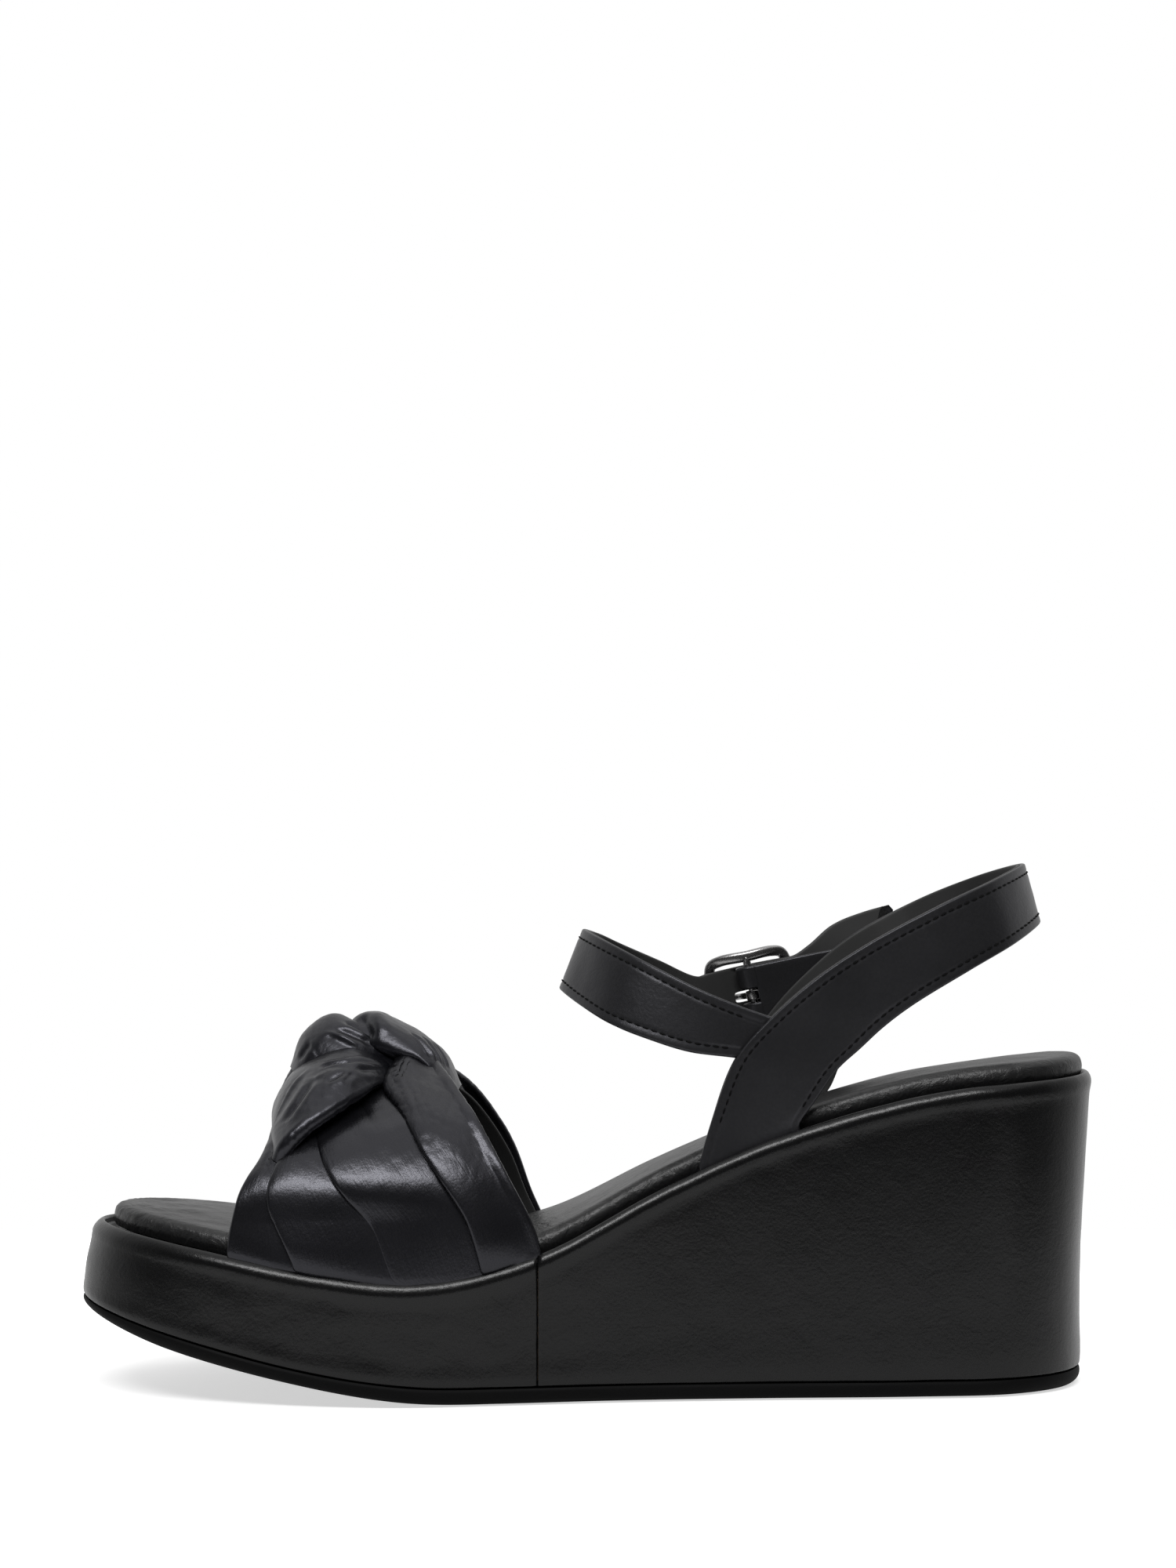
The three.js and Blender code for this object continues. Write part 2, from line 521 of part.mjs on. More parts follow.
function core() {
  const skin = WRAP + GAP + 0.2;
  return stack([
    ring(FOOT_TURN_IN + GAP, wallFoot, 1),
    ring(FOOT_TURN_IN + GAP, (x) => wallFoot(x) + WRAP + GAP, 1),
    ring(skin, (x) => wallFoot(x) + WRAP + GAP, 1),
    ring(skin + 0.7, wallZ(0.4), wallLean(0.4)),
    ring(skin + 0.9, belowRim(8), 0.25),
    ring(skin + 0.5, belowRim(6), 0.1),
    ring(BEAD + 0.2, belowRim(LIP + WRAP + GAP)),
    ring(TURN_IN + GAP, belowRim(LIP + WRAP + GAP)),
    ring(TURN_IN + GAP, belowRim(LIP)),
  ]);
}

/** The whole leather wrap: wall, rolled bead, and the margins turned in above and below the core. */
function wholeWrap() {
  const inner = WRAP + 0.1;
  return hoop([
    ring(0, wallFoot, 1),
    ring(0.7, wallZ(0.4), wallLean(0.4)),
    ring(0.9, belowRim(8), 0.25),
    ring(0, belowRim(3.2), 0.05),
    ring(0.5, belowRim(0.9)),
    ring(1.4, belowRim(0)),
    ring(2.1, belowRim(0.5)),
    ring(BEAD, belowRim(LIP)),
    ring(TURN_IN, belowRim(LIP)),
    ring(TURN_IN, belowRim(LIP + WRAP)),
    ring(BEAD - 0.2, belowRim(LIP + WRAP)),
    ring(inner + 0.5, belowRim(5.5), 0.1),
    ring(inner + 0.9, belowRim(8), 0.25),
    ring(inner + 0.7, wallZ(0.4), wallLean(0.4)),
    ring(inner, (x) => wallFoot(x) + WRAP, 1),
    ring(FOOT_TURN_IN, (x) => wallFoot(x) + WRAP, 1),
    ring(FOOT_TURN_IN, wallFoot, 1),
  ]);
}

function wrapHalf(side) {
  const edge = WRAP_SEAM_X + (side * GAP) / 2;
  const far = side * 200;
  return keep(wholeWrap(), block(
    new THREE.Vector3(Math.min(edge, far), -100, -50),
    new THREE.Vector3(Math.max(edge, far), 100, 200),
  ));
}

// ---- Footbed ----
const footbedInset = smooth([[-120, 4.4], [-98, 5.9], [0, 5.9], [90, 5.5], [124, 2.6]]);
const within = (extra) => (x) => footbedInset(x) + extra;
const aboveRim = (rise) => (x, y) => rim(x, y) + rise;
const layer = (inset, low, high) => stack([ring(inset, aboveRim(low)), ring(inset, aboveRim(high))]);

const SHANK = { from: -34, to: 74, half: 6, thick: 1, rivets: [-22, 62] };
const FOAM_Z = BOARD_Z + BOARD + GAP;
const COVER_Z = FOAM_Z + FOAM + GAP;

const rivetRod = (x, radius, low, high) => bar(
  new THREE.Vector3(x, 0, rim(x, 0) + low),
  new THREE.Vector3(x, 0, rim(x, 0) + high),
  radius,
);
const rivetHoles = () => SHANK.rivets.map((x) => rivetRod(x, 1.5 + GAP, MARGIN_Z - 1, COVER_Z));
const rivet = (x) => rivetRod(x, 1.5, MARGIN_Z + 0.1, BOARD_Z + BOARD - 0.2);
const board = () => cut(layer(within(COVER + GAP), BOARD_Z, BOARD_Z + BOARD), ...rivetHoles());

/** A strip that follows the deck, between two heights from the rim. */
function deckStrip(from, to, half, low, high) {
  const steps = 18;
  const sections = [];
  for (let i = 0; i <= steps; i += 1) {
    const x = THREE.MathUtils.lerp(from, to, i / steps);
    sections.push([[-half, low], [half, low], [half, high], [-half, high]]
      .map(([y, rise]) => new THREE.Vector3(x, y, rim(x, y) + rise)));
  }
  return sweep(sections);
}

const shank = () => cut(
  deckStrip(SHANK.from, SHANK.to, SHANK.half, MARGIN_Z, MARGIN_Z + SHANK.thick), ...rivetHoles());

const filler = () => cut(
  layer(TURN_IN - 0.5, MARGIN_Z, MARGIN_Z + SHANK.thick),
  deckStrip(SHANK.from - GAP, SHANK.to + GAP, SHANK.half + GAP, MARGIN_Z - 2, MARGIN_Z + 4),
);

/** The foam sheet, its upper edge rounded off under the sock. */
function foam() {
  const edge = COVER + GAP;
  return stack([ring(within(edge), aboveRim(FOAM_Z)), ring(within(edge), aboveRim(FOAM_Z + 0.6)),
    ring(within(edge + 1.4), aboveRim(FOAM_Z + FOAM))]);
}

/** The leather sock: a crowned cap with its edge drawn down round the foam and the board. */
function cover() {
  const outside = stack([
    ring(within(0.2), aboveRim(BOARD_Z)),
    ring(within(0), aboveRim(BOARD_Z + 2)),
    ring(within(0.5), aboveRim(FOOTBED_RISE - 1.6)),
    ring(within(1.6), aboveRim(FOOTBED_RISE - 0.5)),
    ring(within(3.6), aboveRim(FOOTBED_RISE)),
  ]);
  const inside = stack([
    ring(within(COVER), aboveRim(BOARD_Z - 1)),
    ring(within(COVER), aboveRim(FOAM_Z + 0.9)),
    ring(within(COVER + 1.4), aboveRim(COVER_Z)),
  ]);
  return cut(outside, inside);
}

// ---- Assembly ----
const leather = { color: 0x1c1c1d, roughness: 0.42, metalness: 0 };
const lining = { color: 0x141414, roughness: 0.7, metalness: 0 };
const metal = { color: 0x6d6b6c, roughness: 0.3, metalness: 1 };
const pieces = {
  outsole: [outsole, { color: 0x121212, roughness: 0.75, metalness: 0 }],
  wedge_core: [core, { color: 0xa5835c, roughness: 0.9, metalness: 0 }],
  toe_wrap: [() => wrapHalf(-1), leather],
  wedge_wrap: [() => wrapHalf(1), leather],
  filler_sheet: [filler, { color: 0x8d8478, roughness: 0.9, metalness: 0 }],
  shank: [shank, { color: 0x9aa0a4, roughness: 0.35, metalness: 1 }],
  shank_rivet_front: [() => rivet(SHANK.rivets[0]), metal],
  shank_rivet_rear: [() => rivet(SHANK.rivets[1]), metal],
  insole_board: [board, { color: 0x7a5f45, roughness: 0.9, metalness: 0 }],
  footbed_foam: [foam, { color: 0x55565a, roughness: 0.95, metalness: 0 }],
  footbed_cover: [cover, leather],
  front_band_inner_half: [() => bandPart(0, 9.5, 0, UPPER), leather],
  front_band_outer_half: [() => bandPart(10.5, BAND_LAST, 0, UPPER), leather],
  front_band_lining: [() => bandPart(LASTED - 1, BAND_LAST - LASTED + 1, BAND_LINING_Z, BAND_LINING_Z + LINING), lining],
  knot_loop_under: [knotUnder, leather],
  knot_loop_over: [knotOver, leather],
  heel_strap_root_inner: [() => strapRoot(-1), leather],
  heel_strap_root_outer: [() => strapRoot(1), leather],
  heel_strap: [heelStrap, leather],
  heel_strap_lining: [heelStrapLining, lining],
  ankle_strap: [ankleStrap, leather],
  ankle_strap_lining: [ankleLining, lining],
  buckle_tab: [buckleTab, leather],
  buckle_frame: [buckleFrame, metal],
  buckle_prong: [buckleProng, metal],
};

const sandal = new THREE.Group();
sandal.name = 'wedge_sandal';
for (const [name, [make, finish]] of Object.entries(pieces)) {
  const mesh = new THREE.Mesh(make(), new THREE.MeshStandardMaterial(finish));
  mesh.name = name;
  sandal.add(mesh);
}

export default sandal;
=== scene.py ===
"""
The looks of a knotted leather wedge sandal, laid out as an add-on and run as a script.

Each group of pieces has an operator.
"""

import math

import bpy
import numpy as np
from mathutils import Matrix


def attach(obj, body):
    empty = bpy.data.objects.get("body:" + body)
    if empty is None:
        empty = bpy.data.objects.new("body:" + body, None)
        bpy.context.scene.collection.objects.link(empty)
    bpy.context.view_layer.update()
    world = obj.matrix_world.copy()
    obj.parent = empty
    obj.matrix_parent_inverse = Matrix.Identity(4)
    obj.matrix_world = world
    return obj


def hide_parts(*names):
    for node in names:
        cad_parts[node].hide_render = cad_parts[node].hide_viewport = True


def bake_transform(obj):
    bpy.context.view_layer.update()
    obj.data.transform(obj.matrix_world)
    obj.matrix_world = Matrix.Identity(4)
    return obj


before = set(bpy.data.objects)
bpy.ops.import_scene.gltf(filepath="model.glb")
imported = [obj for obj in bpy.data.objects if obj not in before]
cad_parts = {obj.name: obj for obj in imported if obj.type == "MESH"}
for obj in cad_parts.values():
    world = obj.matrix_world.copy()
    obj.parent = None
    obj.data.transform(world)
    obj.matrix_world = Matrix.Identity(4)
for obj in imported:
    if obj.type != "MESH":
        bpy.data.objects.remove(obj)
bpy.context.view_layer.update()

bl_info = {
    "name": "Wedge sandal maker",
    "version": (1, 0, 0),
    "blender": (4, 5, 0),
    "location": "3D View > Sidebar > Sandal",
    "description": "Makes the visible pieces of a knotted leather wedge sandal",
    "category": "Add Mesh",
}

MM = 0.001

# ---- The sole's plan and heights, in millimetres, as the solids have them ----
RIM_PLAN = np.array([
    (-120, -6), (-115, 12), (-101, 28), (-78, 39), (-48, 45), (-18, 43), (12, 38), (45, 33.5), (80, 32),
    (105, 28), (119, 17), (124, 0), (119, -16), (105, -27), (80, -31), (45, -33), (12, -36), (-18, -41),
    (-48, -45), (-78, -43), (-101, -35), (-115, -22)], float)
HEEL_TIP = 11  # number of the plan's point at the heel's tip
PLAN_STEPS = 1760
TOE_LEAN = 3.2  # how far the wall's foot lies towards the toe from the rim above it
WRAP_SEAM_X = -11.8
UPPER = 1.1  # thickness of the leather of the band and the straps
LINING = 0.8
GAP = 0.3  # air between pieces that lie on each other
SLOT = 2.9  # distance from the rim's edge to the slot that the lasted ends go down
TURN_IN = 15  # width of a lasted margin
MARGIN_Z = -2.0  # height of the lasted margins, from the rim
BOARD_Z = MARGIN_Z + UPPER + GAP
LASTED = 6  # points of a strap's lasted end
SMALL = 1e-3  # step along a spline when its direction is measured


def hermite(table):
    """A smooth curve through (x, value) pairs: cubic Hermite pieces, level where the values turn back."""
    x, y = np.array(table, float).T
    before = np.maximum(np.arange(len(x)) - 1, 0)
    after = np.minimum(np.arange(len(x)) + 1, len(x) - 1)
    slope = (y[after] - y[before]) / (x[after] - x[before])
    rise = np.diff(y) / np.diff(x)
    slope[1:-1][rise[:-1] * rise[1:] <= 0] = 0

    def value(at):
        at = np.asarray(at, float)
        i = np.clip(np.searchsorted(x, at) - 1, 0, len(x) - 2)
        h = x[i + 1] - x[i]
        t = np.clip((at - x[i]) / h, 0, 1)
        return (y[i] * (2 * t**3 - 3 * t**2 + 1) + y[i + 1] * (3 * t**2 - 2 * t**3)
                + h * (slope[i] * (t**3 - 2 * t**2 + t) + slope[i + 1] * (t**3 - t**2)))
    return value


rim_height = hermite([(-122, 41), (-92, 36.2), (-64, 30.9), (-42, 28.6), (-12, 34.7), (18, 50.3), (46, 62.5),
                      (84, 72.9), (124, 76.1)])
outer_side_drop = hermite([(-120, 0.5), (-40, 0.8), (10, 3.4), (40, 4.5), (85, 4.5), (124, 0.2)])
wall_foot = hermite([(-124, 22.5), (-100, 16.2), (-66, 8.2), (-42, 4.6), (-24, 4), (124, 4)])
tread_height = hermite([(-124, 20.3), (-100, 12.5), (-66, 4.5), (-44, 0.8), (-26, 0), (124, 0)])
footbed_inset = hermite([(-120, 4.4), (-98, 5.9), (0, 5.9), (90, 5.5), (124, 2.6)])


def rim(x, y):
    """Height of the rim: its height along the sandal, less a drop that grows towards the outer side."""
    return rim_height(x) - outer_side_drop(x) * (y + 34) / 68


def smoothstep(x, low, high):
    """0 below low, 1 above high, and 3t^2 - 2t^3 between."""
    t = np.clip((np.asarray(x, float) - low) / (high - low), 0, 1)
    return t * t * (3 - 2 * t)


def spline(points, index, closed=False):
    """A centripetal Catmull-Rom curve through points[k], read at the fractional indices."""
    points = np.asarray(points, float)
    index = np.atleast_1d(np.asarray(index, float))
    n = len(points)
    k = np.floor(index).astype(int)
    if closed:
        p0, p1, p2, p3 = (points[(k + s) % n] for s in (-1, 0, 1, 2))
    else:
        ends = np.concatenate([[2 * points[0] - points[1]], points, [2 * points[-1] - points[-2]]])
        k = np.clip(k, 0, n - 2)
        p0, p1, p2, p3 = (ends[k + s] for s in (0, 1, 2, 3))
    t = (index - k).reshape((-1,) + (1,) * (points.ndim - 1))

    def step(a, b):
        return np.sqrt(np.maximum(np.linalg.norm(b - a, axis=-1, keepdims=True), 1e-9))
    d0, d1, d2 = step(p0, p1), step(p1, p2), step(p2, p3)
    m1 = ((p1 - p0) / d0 - (p2 - p0) / (d0 + d1) + (p2 - p1) / d1) * d1
    m2 = ((p2 - p1) / d1 - (p3 - p1) / (d1 + d2) + (p3 - p2) / d2) * d1
    return (p1 + m1 * t + (-3 * p1 + 3 * p2 - 2 * m1 - m2) * t**2 + (2 * p1 - 2 * p2 + m1 + m2) * t**3)


def spline_step(points, index, closed=False):
    """A short step along the spline at the fractional indices, which gives its direction."""
    return spline(points, index + SMALL, closed) - spline(points, index - SMALL, closed)


def unit(v):
    """Vectors scaled to length 1."""
    return v / np.maximum(np.linalg.norm(v, axis=-1, keepdims=True), 1e-12)


def full_turn(count):
    """Equal angles round a circle, from 0, without the last one that would repeat it."""
    return np.linspace(0, 2 * math.pi, count, endpoint=False)


def squared(angle, power):
    """How far a circle of radius 1 is pushed out to a rounded square: 1 / (|cos|^p + |sin|^p)^(1/p)."""
    return 1 / (np.abs(np.cos(angle)) ** power + np.abs(np.sin(angle)) ** power) ** (1 / power)


def plan_sides(inset):
    """The rim's plan moved inwards along its normal by inset(x), as its outer and its inner side."""
    index = np.linspace(0, len(RIM_PLAN), PLAN_STEPS + 1)
    p = spline(RIM_PLAN, index, closed=True)
    along = unit(spline_step(RIM_PLAN, index, closed=True))
    d = inset(p[:, 0]) if callable(inset) else np.full(len(p), float(inset))
    moved = p + np.stack([along[:, 1], -along[:, 0]], 1) * d[:, None]
    heel = round(PLAN_STEPS * HEEL_TIP / len(RIM_PLAN))
    outer, inner = moved[:heel + 1], moved[heel:][::-1]
    return [(np.maximum.accumulate(s[:, 0]), s[:, 1]) for s in (outer, inner)]


def side_y(x, inset, side):
    """Where the inset plan lies across the sandal at x, on its outer side (side above 0) or its inner one."""
    outer, inner = plan_sides(inset)
    return np.interp(x, *(outer if side > 0 else inner))


def wall_lean(x, y, z):
    """The toe's lean at a place on the wall: all of it at the foot, none at the rim, 1 - share^2 between."""
    share = np.clip((z - wall_foot(x)) / (rim(x, y) - wall_foot(x)), 0, 1)
    return TOE_LEAN * (1 - share**2)


SEAM_TRIES = 12


def ring(inset, z, half=0, count=220):
    """
    A ring of the sole: the inset plan read at stations crowded towards the tips, at the heights z(x, y), and
    leaned towards the toe. half is -1 for the part ahead of the wrap's seam, 1 for the part behind it;
    the lean shifts the seam, so the station that lands on it is found in SEAM_TRIES steps.
    Points i and n - 1 - i face each other across the sole; a whole ring has no doubled tip.
    """
    sides = plan_sides(inset)
    tip, heel = sides[0][0][0], sides[0][0][-1]

    def read(x, side):
        y = np.interp(x, *side)
        leaned = x - wall_lean(x, y, z(x, y))
        return np.stack([leaned, y, z(leaned, y)], -1)
    if half == 0:
        x = tip + (heel - tip) * (1 - np.cos(np.linspace(0, math.pi, count + 1))) / 2
        return np.concatenate([read(x, sides[0]), read(x[-2:0:-1], sides[1])])
    ease = 1 - np.cos(np.linspace(math.pi / 2, 0, count // 2 + 1))
    ends = []
    for side in sides:
        seam = WRAP_SEAM_X
        for _ in range(SEAM_TRIES):
            seam += WRAP_SEAM_X - float(read(np.float64(seam), side)[0])
        ends.append((tip if half < 0 else heel) * (1 - ease) + seam * ease)
    return np.concatenate([read(ends[0], sides[0]), read(ends[1], sides[1])[-2::-1]])


# ---- Meshes ----
def build(name, points, faces, uv=None, sharp=None):
    """A mesh object from points in millimetres and its faces, turned so that they face outwards."""
    tri = np.concatenate([f[:, [0, 1, 2]] for f in faces]
                         + [f[:, [0, 2, 3]] for f in faces if f.shape[1] == 4])
    a, b, c = points[tri[:, 0]], points[tri[:, 1]], points[tri[:, 2]]
    if np.einsum("ij,ij->i", a, np.cross(b, c)).sum() < 0:
        faces = [f[:, ::-1] for f in faces]
        uv = [u[:, ::-1] for u in uv] if uv is not None else None
    mesh = bpy.data.meshes.new(name)
    mesh.from_pydata((points * MM).tolist(), [], [f for group in faces for f in group.tolist()])
    if uv is not None:
        layer = mesh.uv_layers.new(name="Length")
        flat = np.concatenate([u.reshape(-1, 2) for u in uv]) * MM
        layer.data.foreach_set("uv", flat.astype(np.float32).ravel())
    mesh.polygons.foreach_set("use_smooth", np.ones(len(mesh.polygons), bool))
    if sharp:
        mesh.set_sharp_from_angle(angle=math.radians(sharp))
    mesh.update()
    piece = bpy.data.objects.new(name, mesh)
    bpy.context.scene.collection.objects.link(piece)
    return piece


def grid_faces(shape, around, along):
    """Quads of a grid of rows and columns, with their row and column numbers for a length map."""
    rows, cols = shape
    r, c = np.meshgrid(np.arange(rows if along else rows - 1), np.arange(cols if around else cols - 1),
                       indexing="ij")
    r, c = r.ravel(), c.ravel()
    r2, c2 = (r + 1) % rows, (c + 1) % cols
    quads = np.stack([r * cols + c, r * cols + c2, r2 * cols + c2, r2 * cols + c], 1)
    return quads, np.stack([r, r, r + 1, r + 1], 1), np.stack([c, c + 1, c + 1, c], 1)


def end_strips(rows, cols):
    """Quads that close the first and the last row of a closed grid, between points that face each other."""
    i = np.arange(cols // 2 - 1)
    strip = np.stack([i + 1, i, cols - 1 - i, cols - 2 - i], 1)
    return [strip, strip[:, ::-1] + (rows - 1) * cols]


def lengths(grid, axis, closed):
    """Mean running length along one axis of a grid, with a last entry that closes it."""
    ahead = np.roll(grid, -1, axis)
    step = np.linalg.norm(ahead - grid, axis=-1).mean(1 - axis)
    if not closed:
        step = step[:-1]
    return np.concatenate([[0], np.cumsum(step)])


def surface(name, grid, along=False):
    """
    A closed surface through grid[row, column], whose last column joins its first. along joins the last row to
    the first; without it the first and last rows are closed by strips.
    """
    rows, cols = grid.shape[:2]
    quads, r, c = grid_faces((rows, cols), True, along)
    u, v = lengths(grid, 0, along), lengths(grid, 1, True)
    u, v = np.append(u, u[-1]), np.append(v, v[-1])
    faces, uv = [quads], [np.stack([u[r], v[c]], -1)]
    flat = grid.reshape(-1, 3)
    if not along:
        faces += end_strips(rows, cols)
        uv += [flat[f][..., :2] for f in faces[1:]]
    return build(name, flat, faces, uv)


def lid(ring_points, across, z=None):
    """
    A grid over a whole ring of the sole: rows run from each outer point to the inner point that faces it,
    in equal steps, and z(x, y) may give the heights. The two tips are rows of one repeated place.
    """
    n = len(ring_points)
    m = n // 2
    i = np.arange(m + 1)
    t = np.linspace(0, 1, across + 1)[None, :, None]
    grid = ring_points[i][:, None] * (1 - t) + ring_points[(-i) % n][:, None] * t
    if z is not None:
        grid[:, 1:-1, 2] = z(grid[:, 1:-1, 0], grid[:, 1:-1, 1])
    return grid


def stack(name, rings, low=None, high=None, across=24, sharp=None):
    """A solid stacked from whole rings of the sole, closed by a lid below and a lid above."""
    n = rings[0].shape[0]
    side = np.array(rings)
    quads, r, c = grid_faces(side.shape[:2], True, False)
    u, v = lengths(side, 0, False), lengths(side, 1, True)
    points, faces, uv = [side.reshape(-1, 3)], [quads], [np.stack([v[c], u[r]], -1)]
    start = side.shape[0] * n
    for level, z, flip in ((0, low, True), (-1, high, False)):
        grid = lid(rings[level], across, z)
        m = grid.shape[0] - 1
        inner = grid[1:-1, 1:-1].reshape(-1, 3)
        number = np.empty(grid.shape[:2], int)
        ring_start = 0 if level == 0 else (side.shape[0] - 1) * n
        i = np.arange(m + 1)
        number[:, 0] = ring_start + i
        number[:, -1] = ring_start + (-i) % n
        number[1:-1, 1:-1] = start + np.arange(len(inner)).reshape(m - 1, across - 1)
        number[0, 1:-1] = number[0, 0]
        number[-1, 1:-1] = number[-1, 0]
        start += len(inner)
        points.append(inner)
        body = np.stack([number[1:-2, :-1], number[1:-2, 1:], number[2:-1, 1:], number[2:-1, :-1]],
                        -1).reshape(-1, 4)
        fans = np.concatenate([
            np.stack([number[0, :-1], number[1, 1:], number[1, :-1]], -1),
            np.stack([number[-1, :-1], number[-2, :-1], number[-2, 1:]], -1)])
        for group in (body, fans):
            faces.append(group if flip else group[:, ::-1])
    points = np.concatenate(points)
    uv += [points[f][..., :2] for f in faces[1:]]
    return build(name, points, faces, uv, sharp)


SINES = 5  # sines summed in each octave of a wave


def wave(points, seed, scale, octaves=3):
    """A smooth random field between about -1 and 1: sums of sines along seeded directions, in millimetres."""
    rng = np.random.default_rng(seed)
    total = np.zeros(points.shape[:-1])
    for octave in range(octaves):
        for _ in range(SINES):
            direction = unit(rng.normal(size=3)) * (2 * math.pi / scale) * 2**octave * rng.uniform(0.7, 1.4)
            total += np.sin(points @ direction + rng.uniform(0, 2 * math.pi)) / 2**octave
    return total / SINES


# ---- Materials ----
class Finish:
    """A material under construction: adds nodes and joins them by name."""

    def __init__(self, name):
        self.material = bpy.data.materials.new(name)
        self.material.use_nodes = True
        self.tree = self.material.node_tree
        self.shader = self.tree.nodes["Principled BSDF"]
        self.place = self.node("ShaderNodeTexCoord").outputs["Object"]

    def node(self, kind, settings=None, **inputs):
        """A new node with its settings, and its inputs by name with _ for each space."""
        made = self.tree.nodes.new(kind)
        for key, value in (settings or {}).items():
            setattr(made, key, value)
        for key, value in inputs.items():
            self.put(made.inputs[key.replace("_", " ")], value)
        return made

    def put(self, socket, value):
        """Gives an input a constant, or joins it to another node's output."""
        if isinstance(value, bpy.types.NodeSocket):
            self.tree.links.new(value, socket)
        else:
            socket.default_value = value

    def noise(self, size, detail=3.0, roughness=0.5, distortion=0.0, place=None):
        """Noise whose blotches are about size metres across, from 0 to 1."""
        made = self.node("ShaderNodeTexNoise", None, Scale=1 / size, Detail=detail, Roughness=roughness,
                         Distortion=distortion, Vector=place or self.place)
        return made.outputs["Fac"]

    def cells(self, size):
        """Distance from the middle of the nearest of many cells about size metres across."""
        return self.node("ShaderNodeTexVoronoi", None, Scale=1 / size, Vector=self.place).outputs["Distance"]

    def math(self, operation, a, b=0.0):
        made = self.node("ShaderNodeMath", {"operation": operation})
        self.put(made.inputs[0], a)
        self.put(made.inputs[1], b)
        return made.outputs[0]

    def band(self, value, low, high, to_low=0.0, to_high=1.0):
        """Maps value from one range to another, and holds it there."""
        made = self.node("ShaderNodeMapRange", None, Value=value)
        for key, number in (("From Min", low), ("From Max", high), ("To Min", to_low), ("To Max", to_high)):
            self.put(made.inputs[key], number)
        return made.outputs["Result"]

    def mix(self, factor, a, b):
        """A colour between a and b; a Mix node's colours are its inputs 6 and 7 and its output 2."""
        made = self.node("ShaderNodeMix", {"data_type": "RGBA"})
        self.put(made.inputs["Factor"], factor)
        self.put(made.inputs[6], a)
        self.put(made.inputs[7], b)
        return made.outputs[2]

    def bump(self, height, strength, distance, normal=None):
        made = self.node("ShaderNodeBump", None, Height=height, Strength=strength, Distance=distance)
        if normal is not None:
            self.put(made.inputs["Normal"], normal)
        return made.outputs["Normal"]


def shade(colour, factor):
    """A colour made lighter or darker by a factor."""
    return tuple(c * factor for c in colour[:3]) + (1.0,)


def leather(name, colour, roughness, grain=0.0009, depth=0.00006, crease=0.4, specular=0.5,
            spread=0.1, streak=0.0, tint_of_gloss=(1, 1, 1, 1)):
    """
    Dressed leather: a fine cell grain, streaks drawn out along the piece and soft creases in the bump, with
    colour and gloss that vary in blotches; the colour is darker in the grain's valleys.
    """
    f = Finish(name)
    blotch = f.noise(0.022, 4)
    pebble = f.cells(grain)
    fine = f.noise(grain * 0.45, 5, 0.6)
    crinkle = f.noise(0.0042, 5, 0.62, 0.8)
    pulled = f.band(crinkle, 0.42, 0.62)
    valley = f.band(pebble, 0.25, 0.75)
    tint = f.mix(f.band(blotch, 0.3, 0.7), shade(colour, 0.82), shade(colour, 1.22))
    tint = f.mix(f.math("MULTIPLY", valley, 0.3), tint, shade(colour, 0.6))
    f.put(f.shader.inputs["Base Color"], tint)
    gloss = f.math("ADD", f.math("MULTIPLY", fine, spread), f.math("MULTIPLY", blotch, spread))
    f.put(f.shader.inputs["Roughness"], f.math("ADD", gloss, roughness - spread))
    f.shader.inputs["Specular IOR Level"].default_value = specular
    f.shader.inputs["Specular Tint"].default_value = tint_of_gloss
    height = f.math("ADD", f.math("MULTIPLY", pebble, -0.6), f.math("MULTIPLY", fine, 0.5))
    relief = f.bump(height, 0.55, depth)
    run = f.node("ShaderNodeUVMap", {"uv_map": "Length"}).outputs[0]
    drawn = f.node("ShaderNodeMapping", None, Vector=run, Scale=(0.10, 1.0, 1.0)).outputs[0]
    relief = f.bump(f.noise(0.0008, 4, 0.6, place=drawn), streak, 0.00012, relief)
    f.put(f.shader.inputs["Normal"], f.bump(pulled, crease, 0.00018, relief))
    return f.material


def cast_metal(name, colour, roughness):
    """Dark plated zinc: fine polishing marks and a faint mottle in the gloss."""
    f = Finish(name)
    mottle = f.noise(0.004, 4)
    marks = f.noise(0.0006, 3, 0.7, 1.5)
    f.put(f.shader.inputs["Base Color"], f.mix(mottle, shade(colour, 0.85), shade(colour, 1.15)))
    f.shader.inputs["Metallic"].default_value = 1.0
    f.put(f.shader.inputs["Roughness"], f.band(marks, 0.3, 0.7, roughness - 0.02, roughness + 0.04))
    f.put(f.shader.inputs["Normal"], f.bump(mottle, 0.08, 0.0001))
    return f.material


def moulded_rubber(name, colour, roughness):
    """Matt moulded rubber with a fine stipple and dusty patches."""
    f = Finish(name)
    dust = f.noise(0.03, 5)
    stipple = f.noise(0.0005, 2)
    f.put(f.shader.inputs["Base Color"], f.mix(f.band(dust, 0.45, 0.75), shade(colour, 0.9),
                                               shade(colour, 1.5)))
    f.put(f.shader.inputs["Roughness"], f.band(dust, 0.3, 0.7, roughness - 0.08, roughness + 0.1))
    f.shader.inputs["Specular IOR Level"].default_value = 0.08
    f.put(f.shader.inputs["Normal"], f.bump(stipple, 0.5, 0.00008))
    return f.material


def granular(name, colour, size, roughness=0.9):
    """A stuff made of packed grains or fibres: cork, felt, board or foam."""
    f = Finish(name)
    grains = f.cells(size)
    f.put(f.shader.inputs["Base Color"], f.mix(grains, shade(colour, 1.2), shade(colour, 0.6)))
    f.put(f.shader.inputs["Roughness"], f.band(grains, 0, 1, roughness - 0.1, roughness))
    f.put(f.shader.inputs["Normal"], f.bump(grains, 0.6, size * 0.3))
    return f.material


